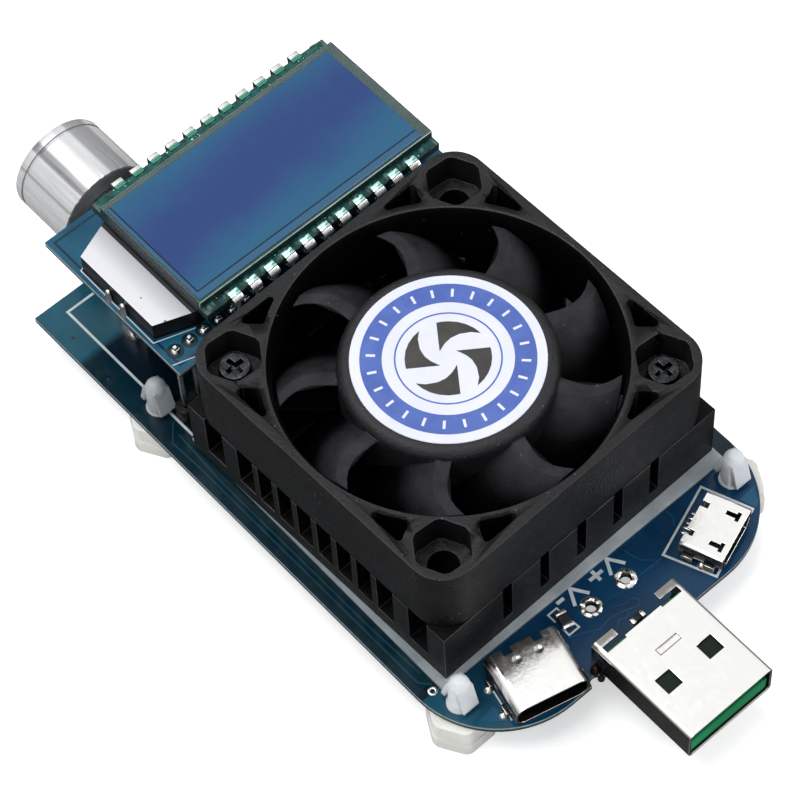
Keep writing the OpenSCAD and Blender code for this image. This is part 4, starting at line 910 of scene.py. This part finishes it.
resin, tree, skin = paint("green_resin")
cloud = cloudy(tree, 1500)
far_side = beyond(tree, axes(tree)[1], 32 + fan_y)
near_hue = mix(tree, cloud, (0.0, 0.012, 0.011, 1), (0.0, 0.075, 0.062, 1))
far_hue = mix(tree, cloud, (0.001, 0.025, 0.022, 1), (0.012, 0.14, 0.118, 1))
hue = mix(tree, far_side, near_hue, far_hue)
# Painted highlight: bright specks stand for glints on the resin, more of them along the far row.
hue = mix(tree, use(tree, dust_and_glint_specks, Scale=2400, Share=0.4), hue, (0.4, 0.8, 0.72, 1))
painted_glint = calc(tree, "MULTIPLY", far_side, use(tree, dust_and_glint_specks, Scale=1500, Share=0.8))
hue = mix(tree, painted_glint, hue, (0.5, 0.85, 0.78, 1))
dress(tree, skin, hue, cloudy(tree, 900, 0.05, 0.16))
skin.inputs["Specular IOR Level"].default_value = 0.3
lift(tree, skin, 1400, 0.4, 0.08)
form = bmesh.new()
lengths, widths = 260, 6
resin_left, resin_long = -13.9, 32.2
for inside, outside, seed in ((front_near - 0.02, rear_near - 0.02, 3.1), (front_far + 0.02, rear_far + 0.02, 8.7)):
    low, high = [], []
    for i in range(lengths + 1):
        x = resin_left + resin_long * i / lengths
        phase = math.cos(math.tau * (x - clip_middle) / clip_pitch)
        depth = 0.95 + 0.05 * phase + 0.08 * noise.noise((x * 1.7, seed, 0))
        bulge = 0.17 + 0.07 * phase + 0.07 * noise.noise((x * 2.1, seed, 4))
        row = []
        for k in range(widths + 1):
            t = k / widths
            y = inside + (outside - inside) * depth * t
            z = ledge + 0.06 + max(0.0, bulge) * (1 - t ** 3) + 0.05 * noise.noise((x * 3, y * 4, seed)) * (1 - t)
            row.append(form.verts.new((x, y, max(z, ledge + 0.01))))
        high.append(row)
        low.append([form.verts.new((x, row[0].co.y, ledge)), form.verts.new((x, row[-1].co.y, ledge))])
    for i in range(lengths):
        for k in range(widths):
            form.faces.new((high[i][k], high[i + 1][k], high[i + 1][k + 1], high[i][k + 1]))
        form.faces.new((low[i][0], low[i][1], low[i + 1][1], low[i + 1][0]))
        form.faces.new((low[i][0], low[i + 1][0], high[i + 1][0], high[i][0]))
        form.faces.new((low[i][1], high[i][-1], high[i + 1][-1], low[i + 1][1]))
    for end in (0, lengths):
        form.faces.new([low[end][0]] + high[end] + [low[end][1]])
bmesh.ops.recalc_face_normals(form, faces=form.faces)
piece("resin_beads", form, [resin], "resin_green", "lcd_clip_resin", smooth=60)


# Encoder
# A stamped steel case soldered to the board by two lugs, with a threaded bushing, pins and a push switch.
# Its steel shaft turns and slides in the bushing.
for node, name, body in (("encoder_case", "encoder_body", "base"), ("encoder_bushing", "encoder_neck", "base"),
                         ("encoder_shaft", "encoder_spindle", "dial")):
    eased(name, node, steel, 0.12, 2, "steel", body)
eased("encoder_tails", "encoder_pins", tin, 0.06, 1, "tin")
coat_node("encoder_plunger", black_moulding)
lug_profile = [(0.85, 0), (0.82, 0.2), (0.66, 0.5), (0.45, 0.85), (0.25, 1.0), (0, 1.05)]
form = bmesh.new()
for x in (-16.3, -3.1):
    for vert in verts_of(lathe(form, lug_profile, 28)):
        swell = 1 + 0.2 * noise.noise(vert.co * 1.9)
        vert.co = Vector((x + vert.co.x * 0.85, 36.2 + vert.co.y * 1.6, board_top + vert.co.z * swell))
piece("lug_joints", form, [tin], "tin")


# Knob
# A turned aluminium knob, brushed along its barrel, with a polished lip behind a fine groove and a notched near rim.
# It is pressed on the flat of the shaft.
knob_x, knob_z = -9.7, 11.4
knob_near, knob_long, knob_r = 47.1, 9.3, 6.05


def off_axis(tree):
    return vec(tree, "SUBTRACT", coords(tree), (knob_x * mm, 0, knob_z * mm))[0]


aluminium, tree, skin = paint("brushed_aluminium")
from_axis = off_axis(tree)
part = axes(tree, from_axis)
bend = calc(tree, "ARCTAN2", part[0], part[2])
streak_at = vec(tree, "MULTIPLY", from_axis, (1, 0.04, 1))[0]
brushed = {"Vector": streak_at, "Scale": 2600, "Detail": 4, "Roughness": 0.7}
streak = put(tree, "ShaderNodeTexNoise", brushed).outputs["Fac"]
# Painted reflection: bright and dark bands set by the angle round the knob's axis.
painted_reflection_angle = calc(tree, "MODULO", spread(tree, bend, -math.pi, math.pi, 0, 2), 1.0)
bands = put(tree, "ShaderNodeValToRGB", {"Fac": painted_reflection_angle})
stops = ((0.0, 0.74), (0.066, 0.76), (0.078, 0.4), (0.095, 0.34), (0.21, 0.38), (0.235, 0.84), (0.3, 0.95),
         (0.306, 0.3), (0.312, 0.95), (0.4, 0.95), (0.5, 0.8), (0.69, 0.84), (0.706, 0.4), (0.722, 0.8),
         (0.83, 0.74), (0.843, 0.18), (0.89, 0.22), (0.908, 0.78))
ramp = bands.color_ramp.elements
ramp[1].position = 1.0
ramp[1].color = (0.9, 0.9, 0.91, 1)
for place, level in stops:
    stop = ramp[0] if place == 0 else ramp.new(place)
    stop.color = (level, level, level * 1.01, 1)
hue = mix(tree, spread(tree, streak, 0.35, 0.65, 0, 0.4), bands.outputs[0], (0.45, 0.45, 0.46, 1))
dress(tree, skin, hue, spread(tree, streak, 0, 1, 0.2, 0.4))
skin.inputs["Metallic"].default_value = 0.25
emboss(tree, skin, streak, 0.2, 0.03)

turned = plated("turned_face", "#6f7072", "#8a8b8d", 0.4, 900, 0.2, 0.4)
faced, tree, skin = paint("faced_end")
flat = vec(tree, "MULTIPLY", off_axis(tree), (1, 0, 1))[0]
ring_at = vec(tree, "LENGTH", flat)["Value"]
ringed = {"W": ring_at, "Scale": 4000, "Detail": 4, "Roughness": 0.7}
tool_marks = put(tree, "ShaderNodeTexNoise", ringed, noise_dimensions="1D").outputs["Fac"]
dress(tree, skin, between(tree, tool_marks, "#a7a8aa", "#f0f0f1"), spread(tree, tool_marks, 0, 1, 0.25, 0.4))
skin.inputs["Metallic"].default_value = 0.5
emboss(tree, skin, tool_marks, 0.15, 0.03)
knob_profile = ((3.2, 0), (3.2, 3.4), (0.1, 3.4), (0, 3.5), (0, 5.85), (0.12, 6.02), (0.5, knob_r), (4, knob_r),
                (7.62, knob_r), (7.74, 5.96), (7.8, 5.84), (7.95, 5.82), (8.02, 5.9), (8.1, 6.02), (8.25, knob_r),
                (8.9, knob_r), (9.15, 5.95), (knob_long, 5.7), (knob_long, 3.4), (knob_long - 0.05, 3.3),
                (knob_long - 0.05, 0))
form = bmesh.new()
rings = []
for along, radius in knob_profile:
    ring = []
    for k in range(360 if radius else 1):
        angle = math.radians(k)
        r = radius
        if radius > 5.7 and along <= 0.5:
            notch = (0.5 + 0.5 * math.cos(angle * 40)) * (0.6 + 0.4 * math.sin(k * 0.31))
            r -= 0.16 * (1 - along / 0.5) * notch
        ring.append(form.verts.new((knob_x + r * math.cos(angle), knob_near + along, knob_z + r * math.sin(angle))))
    rings.append(ring)
for a, b in zip(rings, rings[1:]):
    for k in range(360):
        j = (k + 1) % 360
        form.faces.new(list(dict.fromkeys((a[k % len(a)], a[j % len(a)], b[j % len(b)], b[k % len(b)]))))
bmesh.ops.recalc_face_normals(form, faces=form.faces)
for face in form.faces:
    if face.normal.y < -0.8 or face.calc_center_median().y < knob_near + 0.05:
        face.material_index = 1
    elif face.normal.y > 0.8:
        face.material_index = 2
piece("knob_barrel", form, [aluminium, turned, faced], "knob_aluminium", "knob", body="dial", smooth=30)


# Plug
# A folded nickel-plated shell with two windows round a green tongue that carries four gold contacts.
# It is soldered flat on the front edge of the board; its sides are painted darker than its rolled top, as a painted
# reflection.
nickel = plated("bright_nickel", "#f4f2ee", "#fbf9f6", 0.14, 900, 0.12)


# Painted reflection: the nickel darkens towards one end, where it mirrors the dark parts behind it.
def nickel_painted_reflection(name, spot, way, span):
    made, tree, skin = paint(name)
    from_spot = vec(tree, "SUBTRACT", coords(tree), (spot[0] * mm, (spot[1] + fan_y) * mm, 0))[0]
    along = vec(tree, "DOT_PRODUCT", from_spot, (way[0], way[1], 0))["Value"]
    along = calc(tree, "ADD", along, cloudy(tree, 500, -span / 2 * mm, span / 2 * mm))
    share = spread(tree, along, 0.0, span * mm, curve="SMOOTHSTEP")
    dress(tree, skin, between(tree, share, "#f7f5f1", "#8f8a85"), cloudy(tree, 1800, 0.1, 0.2))
    skin.inputs["Metallic"].default_value = 1
    lift(tree, skin, 2700, 0.12, 0.04)
    return made


# Painted reflection: side faces of the shells get a darker nickel for the dim surround they mirror.
nickel_painted_dark_side = plated("nickel_side_painted_dark", "#5f5c58", "#75726d", 0.22, 900, 0.15)
nickel_inside = plated("shaded_nickel", "#2b2a28", "#3d3b38", 0.35, 900, 0.15)


def shell(name, node, width, bright):
    form = solid(node)
    low = Vector([min(v.co[k] for v in form.verts) for k in range(3)])
    high = Vector([max(v.co[k] for v in form.verts) for k in range(3)])
    for face in form.faces:
        at = face.calc_center_median()
        if abs(face.normal.z) > 0.45:
            inside = (at.z - (low.z + high.z) / 2) * face.normal.z < 0
        else:
            inside = face.normal.dot(at - (low + high) / 2) < 0
            face.material_index = 1
        if inside:
            face.material_index = 2
    round_edges(form, width, 2, 35, 0)
    piece(name, form, [bright, nickel_painted_dark_side, nickel_inside], "nickel", node)


shell("plug_shell", "usb_plug_shell", 0.07, nickel_painted_reflection("plug_nickel", (-1, -30.9), (0, 1), 0.9))
form = bmesh.new()
ribbon(form, [(-2.5, -35.3), (0.5, -35.3), (0.5, -34.5), (-2.5, -34.5)], 0.1, 9.68, 0.03, closed=True)
stamped = plated("stamped_edge", "#5d4c42", "#7a675b", 0.3, 900, 0.1)
piece("plug_stamp", form, [stamped], "nickel")
bead = [(1, 0), (0.95, 0.3), (0.7, 0.7), (0.3, 0.95), (0, 1)]
form = bmesh.new()
for spot, wide, tall in (((-7.25, -30.4), 0.55, 1.1), ((-7.35, -31.5), 0.4, 0.7), ((5.2, -30.3), 0.5, 0.9)):
    for vert in verts_of(lathe(form, [(wide * r, tall * z) for r, z in bead], 20, spot)):
        vert.co.z += board_top + 0.1 * noise.noise(vert.co * 2.7) * (vert.co.z > 0.05)
flux = moulded("burnt_flux", "#0e0b09", "#241b15", 0.2, 900, 0.3, 0, 0.5)
piece("plug_flux", form, [flux], "tin")
green_plastic = moulded("green_tongue_plastic", "#108351", "#189a62", 0.38, 700, 0.08, 0, 0.25)
eased("plug_tongue", "usb_plug_tongue", green_plastic, 0.15, 2, "green_plastic")
# Painted shade: a dark green sheet over the tongue stands for the shade inside the shell, seen through its windows.
shade_sheet_finish = moulded("shaded_liner", "#08130e", "#0e2217", 0.5, 700, 0.08, 0, 0.15)
form = bmesh.new()
patch(form, [(-6, -42), (4, -42), (4, -32), (-6, -32)], 9.24, 0.12)
piece("plug_liner", form, [shade_sheet_finish], "green_plastic")
gold = plated("gold_flash", "#b28a35", "#dcb35a", 0.2)
eased("plug_contacts", "usb_plug_contacts", gold, 0.05, 1, "gold")


# Sockets
# Two stamped shells soldered at the front corners, each round a black tongue.
# The seams, slots and solder tabs are those of the stamping; solder stands round the tabs.
shell("oval_shell", "reversible_socket_shell", 0.05, nickel_painted_reflection("oval_nickel", (-12.2, -26.4), (0.242, 0.97), 2.6))
shell("small_shell", "micro_socket_shell", 0.05, nickel)
for node, name in (("reversible_socket_tongue", "oval_tongue"), ("micro_socket_tongue", "small_tongue")):
    eased(name, node, black_moulding, 0.06, 1, "black_plastic")


def block(form, low, high, spin, place, width, index):
    made = bmesh.ops.create_cube(form, size=1)["verts"]
    sides = [h - l for l, h in zip(low, high)]
    middle = [(l + h) / 2 for l, h in zip(low, high)]
    bmesh.ops.scale(form, vec=sides, verts=made)
    bmesh.ops.translate(form, vec=middle, verts=made)
    edges = list({e for v in made for e in v.link_edges})
    faces = bmesh.ops.bevel(form, geom=edges, offset=width, segments=2, profile=0.5, affect="EDGES")["faces"]
    verts = list(verts_of(faces))
    turning = Matrix.Translation(place) @ Matrix.Rotation(math.radians(spin), 4, "Z")
    bmesh.ops.transform(form, matrix=turning, verts=verts)
    for face in {f for v in verts for f in v.link_faces}:
        face.material_index = index


contact_pitch, contact_spin = 0.65, 110.25
form = bmesh.new()
for k in range(-2, 3):
    place = (12.5 + contact_pitch * k * 0.938, -24.4 + contact_pitch * k * 0.346, board_top)
    block(form, (-0.5, -0.14, 0.0), (0.5, 0.14, 0.22), contact_spin, place, 0.05, 0)
piece("small_contacts", form, [tin], "tin")
tab_joint = [(0.62, 0), (0.56, 0.12), (0.4, 0.3), (0.24, 0.42), (0, 0.45)]
tab_spots = [(x, y, board_top) for x, y in ((-16.9, -24.3), (-17.8, -27.6), (10.0, -28.9), (16.9, -26.2))]
scatter("tab_joints", tab_spots, tab_joint, 20, tin, "tin", 9)


# Chip parts
# Surface-mounted parts: two small chips beside the terminals, and the power stage and controller under the board.
# Moulded or fired bodies with tinned ends, soldered on flat.
chip_black = moulded("chip_moulding", "#151517", "#232326", 0.5, 2000, 0.2, 0, 0.3)
form = bmesh.new()
for long, wide, tall, spin, place in ((2.0, 1.25, 0.6, 76, (-5.49, -23.8)), (1.6, 0.8, 0.5, 0, (0.4, -28.9))):
    place = (place[0], place[1], board_top)
    block(form, (-long * 0.3, -wide / 2 + 0.03, 0.02), (long * 0.3, wide / 2 - 0.03, tall), spin, place, 0.04, 0)
    for sign in (-1, 1):
        ends = sorted((sign * long * 0.26, sign * (long / 2 + 0.12)))
        block(form, (ends[0], -wide / 2, 0), (ends[1], wide / 2, tall * 0.94), spin, place, 0.08, 1)
piece("front_chips", form, [chip_black, tin], "chip_black", "chip_parts_top")
for node in ("power_transistor", "shunt_resistor", "controller_chip", "amplifier_chip", "regulator_chip"):
    coat_node(node, chip_black)
coat_node("chip_parts_under", moulded("fired_ceramic", "#6b4a2a", "#8f6a42", 0.45, 2000, 0.2))
